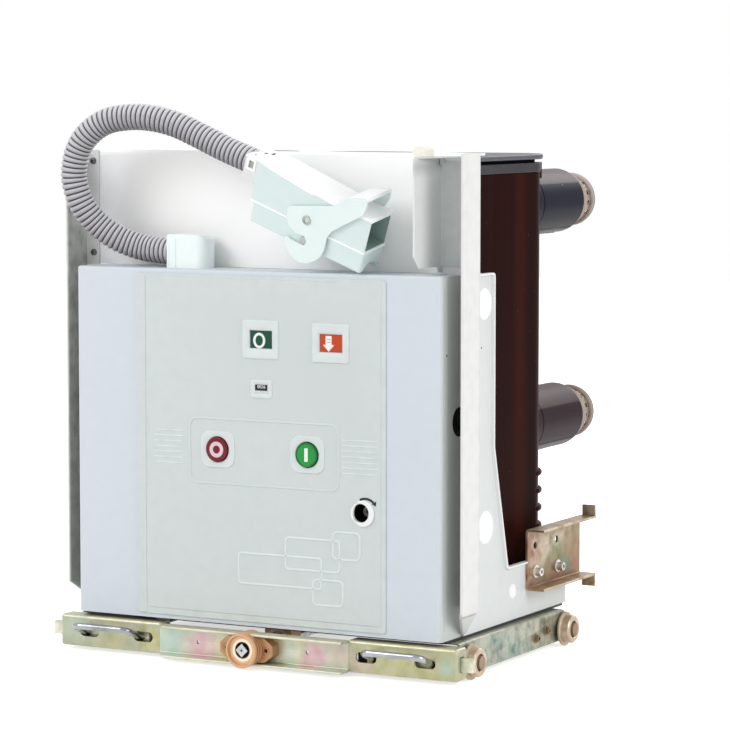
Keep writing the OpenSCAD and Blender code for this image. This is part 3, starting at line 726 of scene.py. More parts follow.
# Column: bands of painted shade, a little darker along the front edge, darker at the flange's corner and
# towards the foot; painted shade on the inward faces too.
COLUMN = coated("Column paint", "E6E7E4", "E2E3E0", roughness=0.42, bands=(
    ("y", "DEDEDC", 0, 12.5, 1.5, 1.0), ("y", "D0D2CF", 53.5, 60, 1.0, 0.8),
    ("z", "C3C7C4", 0, 75, 2, 0.9)), inner=("9A9C97", 268.0))
# Baffle: painted shade towards its left end and a painted highlight along the top fold.
BAFFLE = coated("Baffle paint", "FFFFFF", "FCFBF9", roughness=0.4, bands=(
    ("x", "F0F2F4", -300, -212, 55, 1.0), ("z", "FFFFFF", 604.5, 620, 1.5, 1.0)))
# Holder: painted shade, a little darker from the middle back, darker under the top fold and on the fold
# strip beside the fin.
HOLDER = coated("Holder paint", "E4E7E6", "DFE2E1", roughness=0.42, bands=(
    ("y", "E2E5E4", 34, 80, 26, 0.9), ("z", "ACAFAD", 590, 602, 14, 0.8),
    ("x", "D2D7D7", 221.5, 260, 1.0, 0.9)))
# The pale band along the beam end's top lip is painted highlight; the patches are the zinc's bloom.
ZINC_END = zinc("Zinc on the beam's ends", "A3A98B", "ACAA78", "A5A488", patches=(
    ("98AE9C", (-250, -5, 26), (1, 1, 1), 26, 0.7), ("B1AA63", (-142, -5, 24), (1, 1, 1), 22, 0.8),
    ("B3B077", (205, -5, 20), (0.5, 1, 1), 30, 0.8), ("93B1A1", (258, -5, 22), (1, 1, 1), 13, 0.8),
    ("B69E90", (150, -5, 12), (1, 1, 1), 18, 0.6), ("98AE9C", (272, 8, 24), (1, 1, 1), 14, 0.6)),
    bands=(("z", "BDB99E", 41.5, 50, 1.5, 0.6),))
# The pale band along the middle's top lip is painted highlight.
ZINC_MID = zinc("Zinc on the beam's middle", "BAC7B8", "C8C7A0", "C3C2B4", patches=(
    ("A9C4BC", (-112, -5, 24), (1, 1, 1), 22, 0.8), ("D3A4B4", (-70, -5, 24), (0.8, 1, 1), 24, 0.9),
    ("D0A1B2", (82, -5, 22), (0.8, 1, 1), 20, 0.9), ("C8C48A", (-40, -5, 24), (1, 1, 1), 18, 0.7),
    ("A9C4BC", (52, -5, 26), (1, 1, 1), 16, 0.7), ("CAB4A8", (118, -5, 24), (1, 1, 1), 16, 0.7)),
    bands=(("z", "C1BBA0", 41, 50, 1.5, 0.7),))
# The pale band along the rail's upper flange is painted highlight.
ZINC_RAIL = zinc("Zinc on the rails", "5E7B6F", "6A7761", "66716A", patches=(
    ("4F7871", (260, 130, 25), (1, 0.5, 1), 40, 0.85), ("6E6862", (260, 118, 17), (1, 0.5, 1.5), 20, 0.6),
    ("626444", (260, 265, 25), (1, 0.6, 1), 34, 0.8)), bands=(("z", "808777", 42.5, 50, 1.5, 0.9),))
# The pale bands along the bracket's flanges are painted highlight.
BRACKET = zinc("Zinc on the brackets", "84542F", "84682F", "8C563C", size=30.0, patches=(
    ("636C36", (252, 306, 120), (1, 0.8, 1), 26, 0.85), ("3C6C4C", (252, 335, 98), (1, 1, 1), 17, 0.8),
    ("566C44", (252, 262, 96), (1, 1, 1), 16, 0.7), ("806C30", (252, 340, 140), (1, 0.6, 1), 22, 0.7),
    ("8B5432", (252, 232, 118), (1, 1, 0.6), 12, 0.8)),
    bands=(("z", "9A7A4C", 60, 82, 1.5, 0.7), ("z", "9A7A4C", 150.5, 170, 1.5, 0.7)))
# Rings of painted light and shade about the screw: paler on the ring and its inner step, darker in the
# groove and down the bore.
SOCKET = bare("Plated socket", "B98D66", "A07650", metallic=0.4, low=0.3, high=0.42, centre=(0, BEAM_Z),
              rings=(
    ("D6AA84", 13.6, 21.6, 0.6, 1.0), ("F2E4CF", 10.2, 13.9, 0.6, 1.0), ("8E6A48", 19.9, 20.6, 0.4, 0.8),
    ("40342A", 0, 9.8, 0.6, 1.0)))
STEEL = bare("Bright steel", "C8CACB", "9B9EA0", stretch=(30.0, 200.0, 30.0))
CHROME = bare("Polished bar", "A6A9AB", "84878A", low=0.16, high=0.26)
# Painted shade: the inside of the beam is coloured dark.
BEAM_INSIDE_SHADE = clean("Painted shade inside the beam", "2B2A24", "222019")
DARK_STUD = bare("Screw heads", "6E7072", "4A4C4E", metallic=0.8, low=0.25, high=0.4)
BOLT = bare("Bolt steel", "E6E2DC", "B9B2A6", metallic=0.6, low=0.25, high=0.4)
STUD = bare("Dull stud", "B9BCB8", "8D8F8A", metallic=0.5, low=0.3, high=0.45)
DARK = bare("Blackened steel", "33363A", "1C1E20", metallic=0.7, low=0.35, high=0.5)
PLATE_BLACK = coated("Black sheet", "2A2C2E", "1F2122", roughness=0.5, wear_and_highlight=0.5)
WHEEL = bare("Wheel steel", "CDBAA4", "A58C70", metallic=0.45, low=0.28, high=0.42)
HUB = bare("Wheel hub", "8F7654", "6E5940", metallic=0.4, low=0.3, high=0.45)
# Painted shade: the ring in each wheel's groove is near black.
GROOVE_SHADE = clean("Painted shade in the wheel groove", "2E241A", "231B13", specular=0.1)
RUBBER = coated("Bumper rubber", "F8F4E8", "EFEADA", roughness=0.6)
# The bands from front to back on the poles are painted reflection and shade.
EPOXY = resin("Cast resin", "280E0A", "1A0806", bands=(
    ("100504", 100, 122, 14, 0.8), ("46190F", 228, 256, 16, 0.4), ("220E0B", 262, 290, 14, 0.7),
    ("56403F", 301, 315, 8, 0.8), ("3A2220", 320, 400, 5, 0.9)))
CAP = coated("Cap moulding", "55565E", "4E4F57", roughness=0.4, wear_and_highlight=0.3, specular=0.12, dust=0.1)
CAP_RIM = coated("Cap rim", "2A282D", "262429", roughness=0.4, wear_and_highlight=0.5, specular=0.1, dust=0.05)
# Painted shade: the neck in the gap under each cap's lid is near black.
CAP_GAP_SHADE = coated("Painted shade in the cap gap", "100E0F", "0D0B0C", roughness=0.7, wear_and_highlight=0, specular=0.02, dust=0)
LATCH = coated("Cap latch", "232125", "1D1B1F", roughness=0.5, wear_and_highlight=0.3, specular=0.1, dust=0)
# The bands round each sleeve are painted reflections and shade.
SLEEVE = sleeve_finish("Upper sleeve", ARM_Z["upper"], "242531", (
    ("6B6366", 0.56, 1.2, 0.05, 1.0), ("7B7376", 0.86, 1.2, 0.2, 0.6), ("38393D", -1.2, -0.25, 0.3, 0.9),
    ("494645", -1.2, -0.55, 0.2, 0.8), ("19171B", -0.84, -0.77, 0.03, 0.9),
    ("6A6562", -1.2, -0.84, 0.03, 1.0)))
SLEEVE_LOW = sleeve_finish("Lower sleeve", ARM_Z["lower"], "362B2F", (
    ("5F5455", 0.44, 1.2, 0.06, 1.0), ("6E6263", 0.8, 1.2, 0.2, 0.6), ("4A4043", -1.2, -0.15, 0.35, 0.9),
    ("1F181B", -0.7, -0.63, 0.03, 0.9), ("7B7072", -1.2, -0.7, 0.05, 1.0)))
COPPER = bare("Contact fingers", "AE9A88", "7C6654", metallic=0.5, low=0.3, high=0.45)
SPRING = coated("Contact rings", "C9BCB4", "AD9E94", roughness=0.35, specular=0.3)
SPRING_EDGE = coated("Contact end ring", "7A695E", "5E5046", roughness=0.4, specular=0.3)
# Painted shade: the carrier that shows between the contact fingers is near black.
FINGER_GAP_SHADE = clean("Finger carrier, painted shade", "1C1512", "140F0D", specular=0.1)
# Painted shade: black for the insides of holes and the well, the side ports and the strip under the cover.
SHADE_BLACK = clean("Black lining, painted shade", "0B0B0C", "080808", specular=0.1)
SLIT = clean("Slit", "8C7C5C", "7C6C4E")
MARK = clean("Printed mark", "26282A", "222426", roughness=0.5)
CRESCENT = coated("Charging lip", "F0F2F1", "ECEEED", roughness=0.4, dust=0)
GREEN_PANE = clean("Green flag", "0B4A38", roughness=0.2)
ORANGE_PANE = clean("Orange flag", "C8451A", roughness=0.2)
BLACK_PANE = clean("Counter window", "141414", roughness=0.15)
WHITE_MARK = clean("White mark", "F4F5F3", roughness=0.4)
RED = coated("Trip red", "6E1220", roughness=0.3, dust=0, wear_and_highlight=0.1)
PINK = clean("Trip ring", "E6CBD4", roughness=0.4)
GREEN = coated("Close green", "179A3C", "128534", roughness=0.3, dust=0, wear_and_highlight=0.1)
GREEN_RIM = clean("Close green rim", "0E6B2C", roughness=0.3)
PLUG_WHITE = coated("Plug lid plastic", "FDFFFF", "FBFDFD", roughness=0.35, dust=0)
PLUG_LEVER = coated("Plug lever plastic", "E9F5F3", "E4F1EF", roughness=0.35, dust=0)
PLUG_MINT = coated("Plug body plastic", "DDEBE9", "D6E6E3", roughness=0.38, dust=0)
# Painted shade: a darker copy of the mint for the inside of the plug's mouth.
PLUG_INSIDE_SHADE = coated("Plug inside, painted shade", "9DB3AD", "8AA19A", roughness=0.5, dust=0)
PLUG_SLOT = clean("Plug slots", "4C5654", "414A48", roughness=0.5)
PLUG_WINDOW = clean("Plug window", "B5B3AC", "A5A39C", roughness=0.5)
ELBOW = coated("Elbow plastic", "F3FBFA", "EDF8F6", roughness=0.35, dust=0)


def hose_finish():
    """Grey corrugated plastic, with painted shade down in the grooves and on its underside, and painted
    highlight where it looks up.
    """
    f = Finish("Hose plastic", **{"Specular IOR Level": 0.35})
    depth = node(f.tree, "ShaderNodeAttribute", attribute_name="groove").outputs["Fac"]
    grain, facing = f.use(GRAIN, Fine=500.0), f.use(FACING)
    base = f.mixed(grain["Shade"], tint("AEACB1"), tint("B9B8BD"))
    # Painted highlight on faces that look up, painted shade on faces that look down and in the grooves.
    base = f.mixed(times(f.tree, facing["Up"], 0.85), base, tint("E6E6EA"))
    base = f.mixed(times(f.tree, facing["Down"], 0.7), base, tint("5F5859"))
    base = f.mixed(spread(f.tree, depth, 0.3, 0.9), base, tint("383435"))
    return f.done(base, spread(f.tree, grain["Shade"], 0.0, 1.0, 0.36, 0.46), grain["Height"], 0.08)


HOSE = hose_finish()

# ---- the hose ----

ELBOW_MOUTH = (elbow.x0, (elbow.y0 + elbow.y1) / 2, cover.z1 + 18.5)
HOSE_ROUTE = [ELBOW_MOUTH] + [(x, y, cover.z1 + z) for x, y, z in (
    (-162.7, 28, 21.3), (-183.8, 23, 26.5), (-202.2, 15, 35.5), (-220.7, 6, 50.6), (-232.6, -3, 68.2),
    (-240, -9, 88.2), (-242.9, -12, 111.1), (-236.9, -13, 137.7), (-223.8, -12, 157.6),
    (-200.6, -8, 173.9), (-170.5, -4, 179.7), (-140, -1, 178.9), (-108.9, 3, 171.9), (-79.5, 6.5, 159.5),
    (-42.6, 9, 143), (-8.7, 10, 130))]
HOSE_R, GROOVE_R, RIB = 16.0, 13.7, 6.3
PLUG = Matrix.Translation(at(*HOSE_ROUTE[-1])) @ spun(22, "Y") @ spun(13, "X")
for inside_plug in (22, 44, 66):  # the hose runs on inside the plug
    HOSE_ROUTE.append(tuple(MACHINE.inverted() @ at(inside_plug, 0, 0, PLUG) / MM))


def smooth_line(points, step):
    """A smooth line through the points, with places one step apart."""
    points = [Vector(p) for p in points]
    points = [2 * points[0] - points[1]] + points + [2 * points[-1] - points[-2]]
    dense, parts = [], 24
    for a, b, c, d in zip(points, points[1:], points[2:], points[3:]):
        for t in (k / parts for k in range(parts)):
            dense.append(0.5 * (2 * b + (c - a) * t + (2 * a - 5 * b + 4 * c - d) * t * t
                                + (3 * b - a - 3 * c + d) * t ** 3))
    dense.append(points[-2])
    total = sum((q - p).length for p, q in zip(dense, dense[1:]))
    count = round(total / step)
    places, run, k = [dense[0]], 0.0, 0
    for i in range(1, count):
        want = total * i / count
        while run + (dense[k + 1] - dense[k]).length < want:
            run += (dense[k + 1] - dense[k]).length
            k += 1
        share = (want - run) / (dense[k + 1] - dense[k]).length
        places.append(dense[k].lerp(dense[k + 1], share))
    return places + [dense[-1]], total


def corrugated_hose():
    """Rounded ribs with narrow grooves, closed at both ends."""
    shape = ((0.0, 1.0), (0.7, 0.4), (0.97, 0.0), (1.0, 0.0), (0.97, 0.0), (0.7, 0.4))
    places, total = smooth_line(HOSE_ROUTE, RIB / len(shape))
    sides = 36
    corners, grooves, rings = [], [], len(places)
    across = Vector((0, 1, 0))
    for i, spot in enumerate(places):
        ahead = (places[min(i + 1, rings - 1)] - places[max(i - 1, 0)]).normalized()
        across = (across - ahead * across.dot(ahead)).normalized()
        up = ahead.cross(across)
        crest, groove = shape[i % len(shape)]
        radius = GROOVE_R + (HOSE_R - GROOVE_R) * crest
        for k in range(sides):
            turn = 2 * math.pi * k / sides
            corners.append(at(*(spot + radius * (math.cos(turn) * across + math.sin(turn) * up))))
            grooves.append(groove)
    walls = [(i * sides + k, (i + 1) * sides + k, (i + 1) * sides + (k + 1) % sides,
              i * sides + (k + 1) % sides) for i in range(rings - 1) for k in range(sides)]
    ends = [tuple(range(sides)), tuple(range(rings * sides - 1, (rings - 1) * sides - 1, -1))]
    mesh = bpy.data.meshes.new("hose_tube")
    mesh.from_pydata(corners, [], walls + ends)
    depth = mesh.attributes.new("groove", "FLOAT", "POINT")
    depth.data.foreach_set("value", grooves)
    ob = bpy.data.objects.new("hose_tube", mesh)
    bpy.context.collection.objects.link(ob)
    finished(outward(ob), "hose_plastic", HOSE, "hose", angle=75)
    return ob, [tuple(at(*p)) for p in places[::3] + [places[-1]]], total


hose, hose_path, hose_length = corrugated_hose()

# ---- the plug on the hose's end ----

PLUG_X0, PLUG_X1, PLUG_Y0, PLUG_Y1 = 28, 190, -30, 16
SPLIT, LOW = -32, -58  # heights of the joint between the halves, and of the underside
PIN = (109.5, -22)
CHEEK = 3.0
NEAR_CHEEK = PLUG_Y0 - 0.8 - CHEEK
FAR_CHEEK = PLUG_Y1 + 0.8


def plug_body():
    """The upper half: mint sides under a white lid, open at the end away from the hose."""
    side_line = [(PLUG_X0, SPLIT), (PLUG_X1, SPLIT), (PLUG_X1, 9.5), (PLUG_X0, 17)]
    body = plate("plug_shell", [side_line], "y", PLUG_Y0 + 0.6, PLUG_Y1 - 0.6, 1.8, 3, PLUG)
    mouth = block("mouth", (164, PLUG_Y0 + 2.2, SPLIT + 3), (195, PLUG_Y1 - 2.2, 7.2), 1.2, 2, PLUG)
    # The mouth's walls take the darker mint as painted shade.
    cut(lined(body, PLUG_MINT), lined(mouth, PLUG_INSIDE_SHADE))
    pin = rod("pin", 5, (PIN[0], NEAR_CHEEK - 0.6, PIN[1]), (PIN[0], FAR_CHEEK + CHEEK + 0.6, PIN[1]), "y",
              PLUG)
    collar = block("collar", (3, -19, -17), (30, 15, 13), 1.5, 3, PLUG)
    cut(collar, block("window", (9.4, -21, 0), (16, -16, 9), 0.6, 2, PLUG))
    return joined("plug_shell", body, collar, pin)


def plug_lid():
    """The white lid: its lower edge slants and steps down along the side."""
    end = PLUG_X1 + 1
    slanted = rounded([(26, 17.4, 0.4), (45, 13.9, 1), (106, 7.4, 1), (111, 9.2, 1), (118, 9.2, 1),
                       (140, 6.6, 1), (end, 7.6, 0.6), (end, 12, 1.5), (PLUG_X0, 20, 2)], 0, 3)
    lid = plate("plug_lid", [slanted], "y", PLUG_Y0 - 0.4, PLUG_Y1 + 0.4, 1.2, 3, PLUG)
    throat = rounded([(3.4, 12), (30, 12), (30, 18.4), (26, 18.4), (3.4, 14.2)], 0.8, 3)
    throat = plate("throat", [throat], "y", -19.4, 15.4, 0.8, 2, PLUG)
    rib = block("rib", (PLUG_X0 - 0.4, PLUG_Y0 - 0.8, SPLIT - 1.2),
                (PLUG_X1 + 0.9, PLUG_Y1 + 0.8, SPLIT + 1.3), 0.9, 3, PLUG)
    border = [box_ring(6.2, -3, 19.4, 11.6, 1.2, 3), box_ring(9.2, -0.2, 16.2, 9.2)]
    border = plate("window_border", border, "y", -19.9, -18.6, 0.4, 2, PLUG)
    return lined(joined("plug_lid", lid, throat, rib, border), PLUG_WHITE)


def plug_marks():
    """Dark clips on the lid, the shade in the collar's window and the block deep in the mouth."""
    clips = [block("clip", (x, y, z), (x + w, y + d, z + 0.8), 0.2, 1, PLUG)
             for x, y, z, w, d in ((18, -4, 16.6, 5, 5), (27, -3, 19.3, 3, 6), (12, -15, 15.4, 3, 2))]
    shade = lined(block("window_shade", (9.6, -17.8, 0.2), (15.8, -16.6, 8.8), 0.2, 1, PLUG), PLUG_WINDOW)
    marks = joined("plug_marks", shade, lined(joined("clips", *clips), PLUG_SLOT))
    inside = block("plug_contact_block", (163, PLUG_Y0 + 3, SPLIT + 4), (168, PLUG_Y1 - 3, 6), 0.8, 2, PLUG)
    for y in (-20, -10, 0):
        for z in (-22, -12, -2):
            cut(inside, rod("socket", 2.2, (166, y, z), (170, y, z), "x", PLUG, sides=20))
    # The block deep in the mouth is painted darker as shade.
    return marks, lined(inside, PLUG_INSIDE_SHADE)


def hex_head(name, radius, height, place):
    """A socket screw's head that looks along the place's own minus Y."""
    head = eased(rod(name, radius, (0, -height, 0), (0, 0, 0), "y", place), radius * 0.12, 2)
    hexagon = round_ring(0, 0, radius * 0.55, sides=6)
    return cut(head, plate("hexagon", [hexagon], "y", -height - 1, -height * 0.35, place=place))


# outlines about the lever's pin: across, up and corner radius
LEVER_OUTLINE = [
    (-29, 5.5, 6), (-27.5, -8, 4), (-21, -17, 4), (-11.5, -21, 2), (-4, -21.5, 2), (2, -21, 2),
    (5.8, -26, 4), (3.8, -31.6, 2), (-2.5, -32.2, 3), (-15.5, -32, 3), (-20.5, -30, 1.5), (-24.5, -33.5, 2),
    (-20.5, -42, 8), (-11, -50.5, 8), (1.5, -54.5, 12), (13.5, -51.5, 12), (23, -43.5, 8), (28.5, -36, 8),
    (31, -25.5, 6), (30.5, -10, 8), (35, 0, 4), (56, 22, 6), (68.5, 34.5, 8), (72, 47, 6), (70.5, 58, 1.5),
    (46.5, 48, 3), (41.5, 44.5, 3), (37.5, 38.5, 4), (29.5, 31, 10)]
BRIDGE_OUTLINE = [
    (41.5, 44.5, 1), (46.5, 48, 1), (70.5, 58, 1.2), (71.2, 53, 1.2), (48.5, 43.5, 1), (44, 40, 1)]


def from_pin(points):
    return [(PIN[0] + x, PIN[1] + z, *rest) for x, z, *rest in points]


def plug_lever():
    """Two cheeks and the bridge between them."""
    outline = rounded(from_pin(LEVER_OUTLINE), 2, 4)
    cheeks = [plate("cheek", [outline], "y", y, y + CHEEK, 0.7, 2, PLUG) for y in (NEAR_CHEEK, FAR_CHEEK)]
    bridge = plate("bridge", [rounded(from_pin(BRIDGE_OUTLINE))], "y", NEAR_CHEEK + 0.3,
                   FAR_CHEEK + CHEEK - 0.3, 0.6, 2, PLUG)
    cheeks = lined(joined("cheeks", *cheeks), PLUG_LEVER)
    return joined("plug_locking_lever", cheeks, lined(bridge, PLUG_WHITE))


def plug_pieces():
    """All of the plug, which hangs on the hose's end."""
    shell = joined("plug_shell", plug_body(), plug_lid(), *plug_marks())
    finished(shell, "plug_plastic", None, "plug_cover")
    base = block("plug_lower_half", (PLUG_X0 + 4, PLUG_Y0 + 1, LOW), (PLUG_X1, PLUG_Y1 - 1, SPLIT - 0.4),
                 2.4, 4, PLUG)
    arch = round_ring((PLUG_Y0 + PLUG_Y1) / 2 - 1, LOW, 14, 10)
    cut(base, plate("arch", [arch], "x", PLUG_X1 - 14, PLUG_X1 + 4, place=PLUG))
    finished(base, "plug_plastic", PLUG_MINT, "plug_base")
    lever = finished(plug_lever(), "plug_plastic", None, "plug_lever", body="lever")
    head = hex_head("plug_pin_head", 5.6, 1.6, PLUG @ shift(PIN[0], NEAR_CHEEK, PIN[1]))
    finished(head, "plug_plastic", STUD)
    x, z = PIN[0] + 1, PIN[1] - 26.4  # of the rivet at the end of the lever's slot
    stud = bore("slot_stud", 4.9, x, z, NEAR_CHEEK + 0.4, NEAR_CHEEK + CHEEK - 0.2, place=PLUG, sides=32)
    finished(eased(stud, 0.5), "bright_steel", STUD, body="lever")
    return [shell, base, lever, head, stud]


plug_pieces()


def hose_elbow():
    """The fitting on the housing's top: a collar for the hose and a cap rounded at its far end."""
    x0, x1, y0, y1, z0, z1 = elbow.x0, elbow.x1, elbow.y0, elbow.y1, elbow.z0, elbow.z1
    far, seam = 13, x0 + 13
    plan = rounded([(x0, y0, 1.5), (x1, y0, far), (x1, y1, far), (x0, y1, 1.5)], 0, 8)
    outline = rounded([(x0 - 1, z0 - 1, 0), (x1 + 1, z0 - 1, 0), (x1 + 1, z1 - far, 0),
                       (x1 - 0.01, z1 - far, 0), (x1, z1, far), (x0, z1, 4),
                       (x0, z1 - 4, 0), (x0 - 1, z1 - 4, 0)], 0, 8)
    fitting = kept_inside(plate("fitting", [plan], "z", z0, z1),
                          plate("outline", [outline], "y", y0 - 1, y1 + 1))
    eased(fitting, 2.2, 3, 50)
    cut(fitting, block("seam", (seam, y0 - 1, z0 - 1), (seam + 0.9, y0 + 0.8, z1 - 6)),
        block("seam", (x0 + 3.5, y0 - 1, z0 + 2), (x0 + 4.1, y0 + 0.5, z1 - 10)))
    finished(named(fitting, "hose_fitting"), "plug_plastic", ELBOW, "hose_elbow")


hose_elbow()

# ---- front cover and face plate ----


def side_port():
    """The opening in the housing's side: a disc coloured black as painted shade."""
    return turned("side_port", [(-0.4, 0), (-0.4, 17), (0.5, 17), (0.8, 16.4), (0.8, 0)],
                  (cover.x1, 46, 301), "x")


def front_cover():
    """The cover with its openings, the joints at its sides, and a black strip below it as painted shade in
    the gap.
    """
    ob = block("cover_shell", cover.low, cover.high)
    with Bench(ob) as bench:
        bench.edges(lambda m, d: abs(d.z) > 0.9 and m.y < cover.y0 + 1)
        bench.bevel(5, 6)
        bench.edges(lambda m, d: m.z > cover.z1 - 0.5 and (m.y < cover.y0 + 5.5 or abs(d.y) > 0.9)
                    and m.y < cover.y1 - 1)
        bench.bevel(3, 4)
    for button in (trip, close):
        cut(ob, bore("pocket", BUTTON_HOLE, button.x, BUTTON_Z, -2, 15))
    cut(ob, bore("charging_well", WELL, *CHARGE, -2, 36), bore("shaft_bore", 6.1, *CHARGE, 35, 51))
    for s in (-1, 1):  # the joint between the cover's front and its side
        x = s * cover.x1
        cut(ob, block("joint", (min(x, x - s * 0.8), 7.2, 60), (max(x, x - s * 0.8), 8.0, cover.z1 - 12)))
    lined(ob, COVER)
    # The screw holes are lined black as painted shade.
    for s in (-1, 1):
        x = s * cover.x1
        cut(ob, lined(rod("screw_hole", 1.3, (x - 1.5, 14, 380), (x + 1.5, 14, 380), "x", sides=16), SHADE_BLACK))
    finished(ob, "housing_paint", None, "front_cover")
    # The charging well is lined black as painted shade.
    lining = turned("well_lining", [(0.5, 10.95), (35.6, 10.95), (35.6, 6.3), (35.0, 6.3), (35.0, 10.4),
                                    (0.5, 10.4), (0.5, 10.95)], (CHARGE[0], 0, CHARGE[1]))
    finished(lining, "housing_paint", SHADE_BLACK)
    # A black strip under the cover stands in for the shade in the gap below it.
    skirt = block("gap_strip", (cover.x0 + 4, 12, cover.z0 - 3.5), (cover.x1 - 4, 15.5, cover.z0 + 0.2), 0.4)
    finished(skirt, "black_sheet", SHADE_BLACK)
    both_sides(side_port, "side_port", "black_sheet", SHADE_BLACK)


def raised(name, outer, height, edge, *holes):
    """A raised field on the face plate, with soft edges."""
    return plate(name, [outer, *holes], "y", face.y0 - height, face.y0 + 1.5, edge, 3)


def sunken_frame(name, x, z, w, h, pane, height, radius):
    """A square surround whose inner sides slope down to a window."""
    low = (x - w / 2, z - h / 2, x + w / 2, z + h / 2)
    ob = plate(name, [box_ring(*low, radius, 5)], "y", face.y0 - height, face.y0 + 0.5)
    with Bench(ob) as bench:
        bench.edges(lambda m, d: m.y < face.y0 - height + 0.01)
        bench.bevel(height * 0.9, 3)
    slope = 4.5
    ow, oh = pane.x1 - pane.x0, pane.z1 - pane.z0
    funnel = block("funnel", (x - ow / 2 - slope, face.y0 - height - 1, z - oh / 2 - slope),
                   (x + ow / 2 + slope, face.y0 + 1, z + oh / 2 + slope))
    with Bench(funnel) as bench:  # narrow the far end down to the window
        bench.faces(lambda m, n: n.y > 0.9)
        bpy.ops.transform.resize(value=(ow / (ow + 2 * slope), 1, oh / (oh + 2 * slope)))
    # The surround takes a lighter copy of the plate's colour as painted highlight.
    return lined(cut(ob, eased(funnel, 0.8, 2)), LIT_SURROUND)


# raised outlines: left, bottom, right, top and corner radius
EMBOSSED = ((-88, 216, 117, 296, 12), (-21, 98.7, 93.5, 137.5, 5), (43, 120, 118, 160, 6),
            (106.6, 136, 145, 170.5, 7), (80, 80, 122.5, 112.5, 7))


def face_plate():
    """The moulded plate: a stepped field, raised surrounds and their openings."""
    holes = [box_ring(pane.x0, pane.z0, pane.x1, pane.z1) for pane in panes]
    holes += [round_ring(button.x, BUTTON_Z, BUTTON_HOLE) for button in (trip, close)]
    holes.append(round_ring(*CHARGE, WELL))
    base = plate("face_base", [box_ring(face.x0, face.z0, face.x1, face.z1, 4), *holes], "y",
                 face.y0 + 0.9, face.y1, 0.7, 2)
    field = plate("face_field", [box_ring(face.x0 + 16, face.z0 + 8, face.x1 - 6, face.z1 - 4, 3), *holes],
                  "y", face.y0, face.y1 - 0.5, 0.9, 3)
    ridge = plate("face_ridge", [box_ring(face.x0 + 0.6, face.z0 + 0.6, face.x0 + 13, face.z1 - 0.6, 3)],
                  "y", face.y0 + 0.1, face.y1, 0.8, 3)
    parts = [lined(joined("face_fields", base, field, ridge), PLATE)]
    # The raised parts below take lighter copies of the plate's colour as painted highlight.
    for pane in panes[:2]:
        parts.append(sunken_frame("surround", pane.x, pane.z, 49, 46, pane, 1.6, 3))
    pane = panes[2]
    parts.append(sunken_frame("counter_surround", pane.x + 1, pane.z - 2.5, 29, 22, pane, 1.2, 4))
    for button in (trip, close):
        outer = box_ring(button.x - 23, BUTTON_Z - 22, button.x + 23, BUTTON_Z + 22, 12, 8)
        hole = round_ring(button.x, BUTTON_Z, BUTTON_HOLE - 0.3)
        parts.append(lined(raised("button_surround", outer, 1.4, 1.2, hole), LIT_SURROUND))
    wide = 2.6  # of the raised lines
    for x0, z0, x1, z1, r in EMBOSSED:
        outer = box_ring(x0, z0, x1, z1, r)
        inside = box_ring(x0 + wide, z0 + wide, x1 - wide, z1 - wide, max(r - wide, 1))
        parts.append(lined(raised("emboss", outer, 0.8, 0.7, inside), FAINT_LIT_RELIEF if x0 < -50 else LIT_RELIEF))
    for x0, x1 in ((-137, -97), (120, 167)):
        for k in range(7):
            z = 238 + 6.5 * k
            parts.append(lined(raised("louvre", box_ring(x0, z, x1, z + 1.8, 0.8, 3), 0.5, 0.45), FAINT_LIT_RELIEF))
    finished(joined("face_moulding", *parts), "plate_paint", None, "face_plate")


front_cover()
face_plate()

# ---- windows, buttons and the charging socket ----

MARK_Y = (-1.2, -0.5)  # front and back of the marks on the panes


def windows():
    """The three panes, with the ring, the arrow and the digits that show in them."""
    for room, name, finish, slot in zip(panes, ("position", "spring", "counter"),
                                        (GREEN_PANE, ORANGE_PANE, BLACK_PANE),
                                        ("window_green", "window_orange", "counter_black")):
        pane = block(name + "_window_pane", (room.x0, -0.9, room.z0), (room.x1, -0.1, room.z1), 0.2)
        finished(pane, slot, finish, name + "_window")
    position, spring, counter = panes
    x, z = position.x0 + 12.2, position.z0 + 9.2
    letter = [round_ring(x, z, 8.2, 9.2), round_ring(x, z, 5.0, 6.2)]
    finished(plate("open_mark", letter, "y", *MARK_Y, 0.2), "plug_plastic", WHITE_MARK)
    x, z = spring.x0 + 11.5, spring.z0
    arrow = [(x - 4, z + 19), (x - 4, z + 8.5), (x - 7.5, z + 8.5), (x, z + 0.6), (x + 7.5, z + 8.5),
             (x + 4, z + 8.5), (x + 4, z + 19)]
    bars = [box_ring(x - 3, z + h, x + 3, z + h + 0.6) for h in (11.4, 14.6)]
    finished(plate("spring_arrow", [arrow, *bars], "y", *MARK_Y, 0.15), "plug_plastic", WHITE_MARK)
    only()
    bpy.ops.object.text_add()
    digits = named(bpy.context.object, "counter_digits")
    digits.data.body = "0026"
    digits.data.size = 5.6 * MM
    digits.data.extrude = 0.2 * MM
    digits.data.align_x, digits.data.align_y = "CENTER", "CENTER"
    only(digits)
    digits = settled(meshed(), Matrix.Translation(at(counter.x, -1.1, counter.z)) @ spun(90, "X"))
    finished(digits, "plug_plastic", WHITE_MARK)


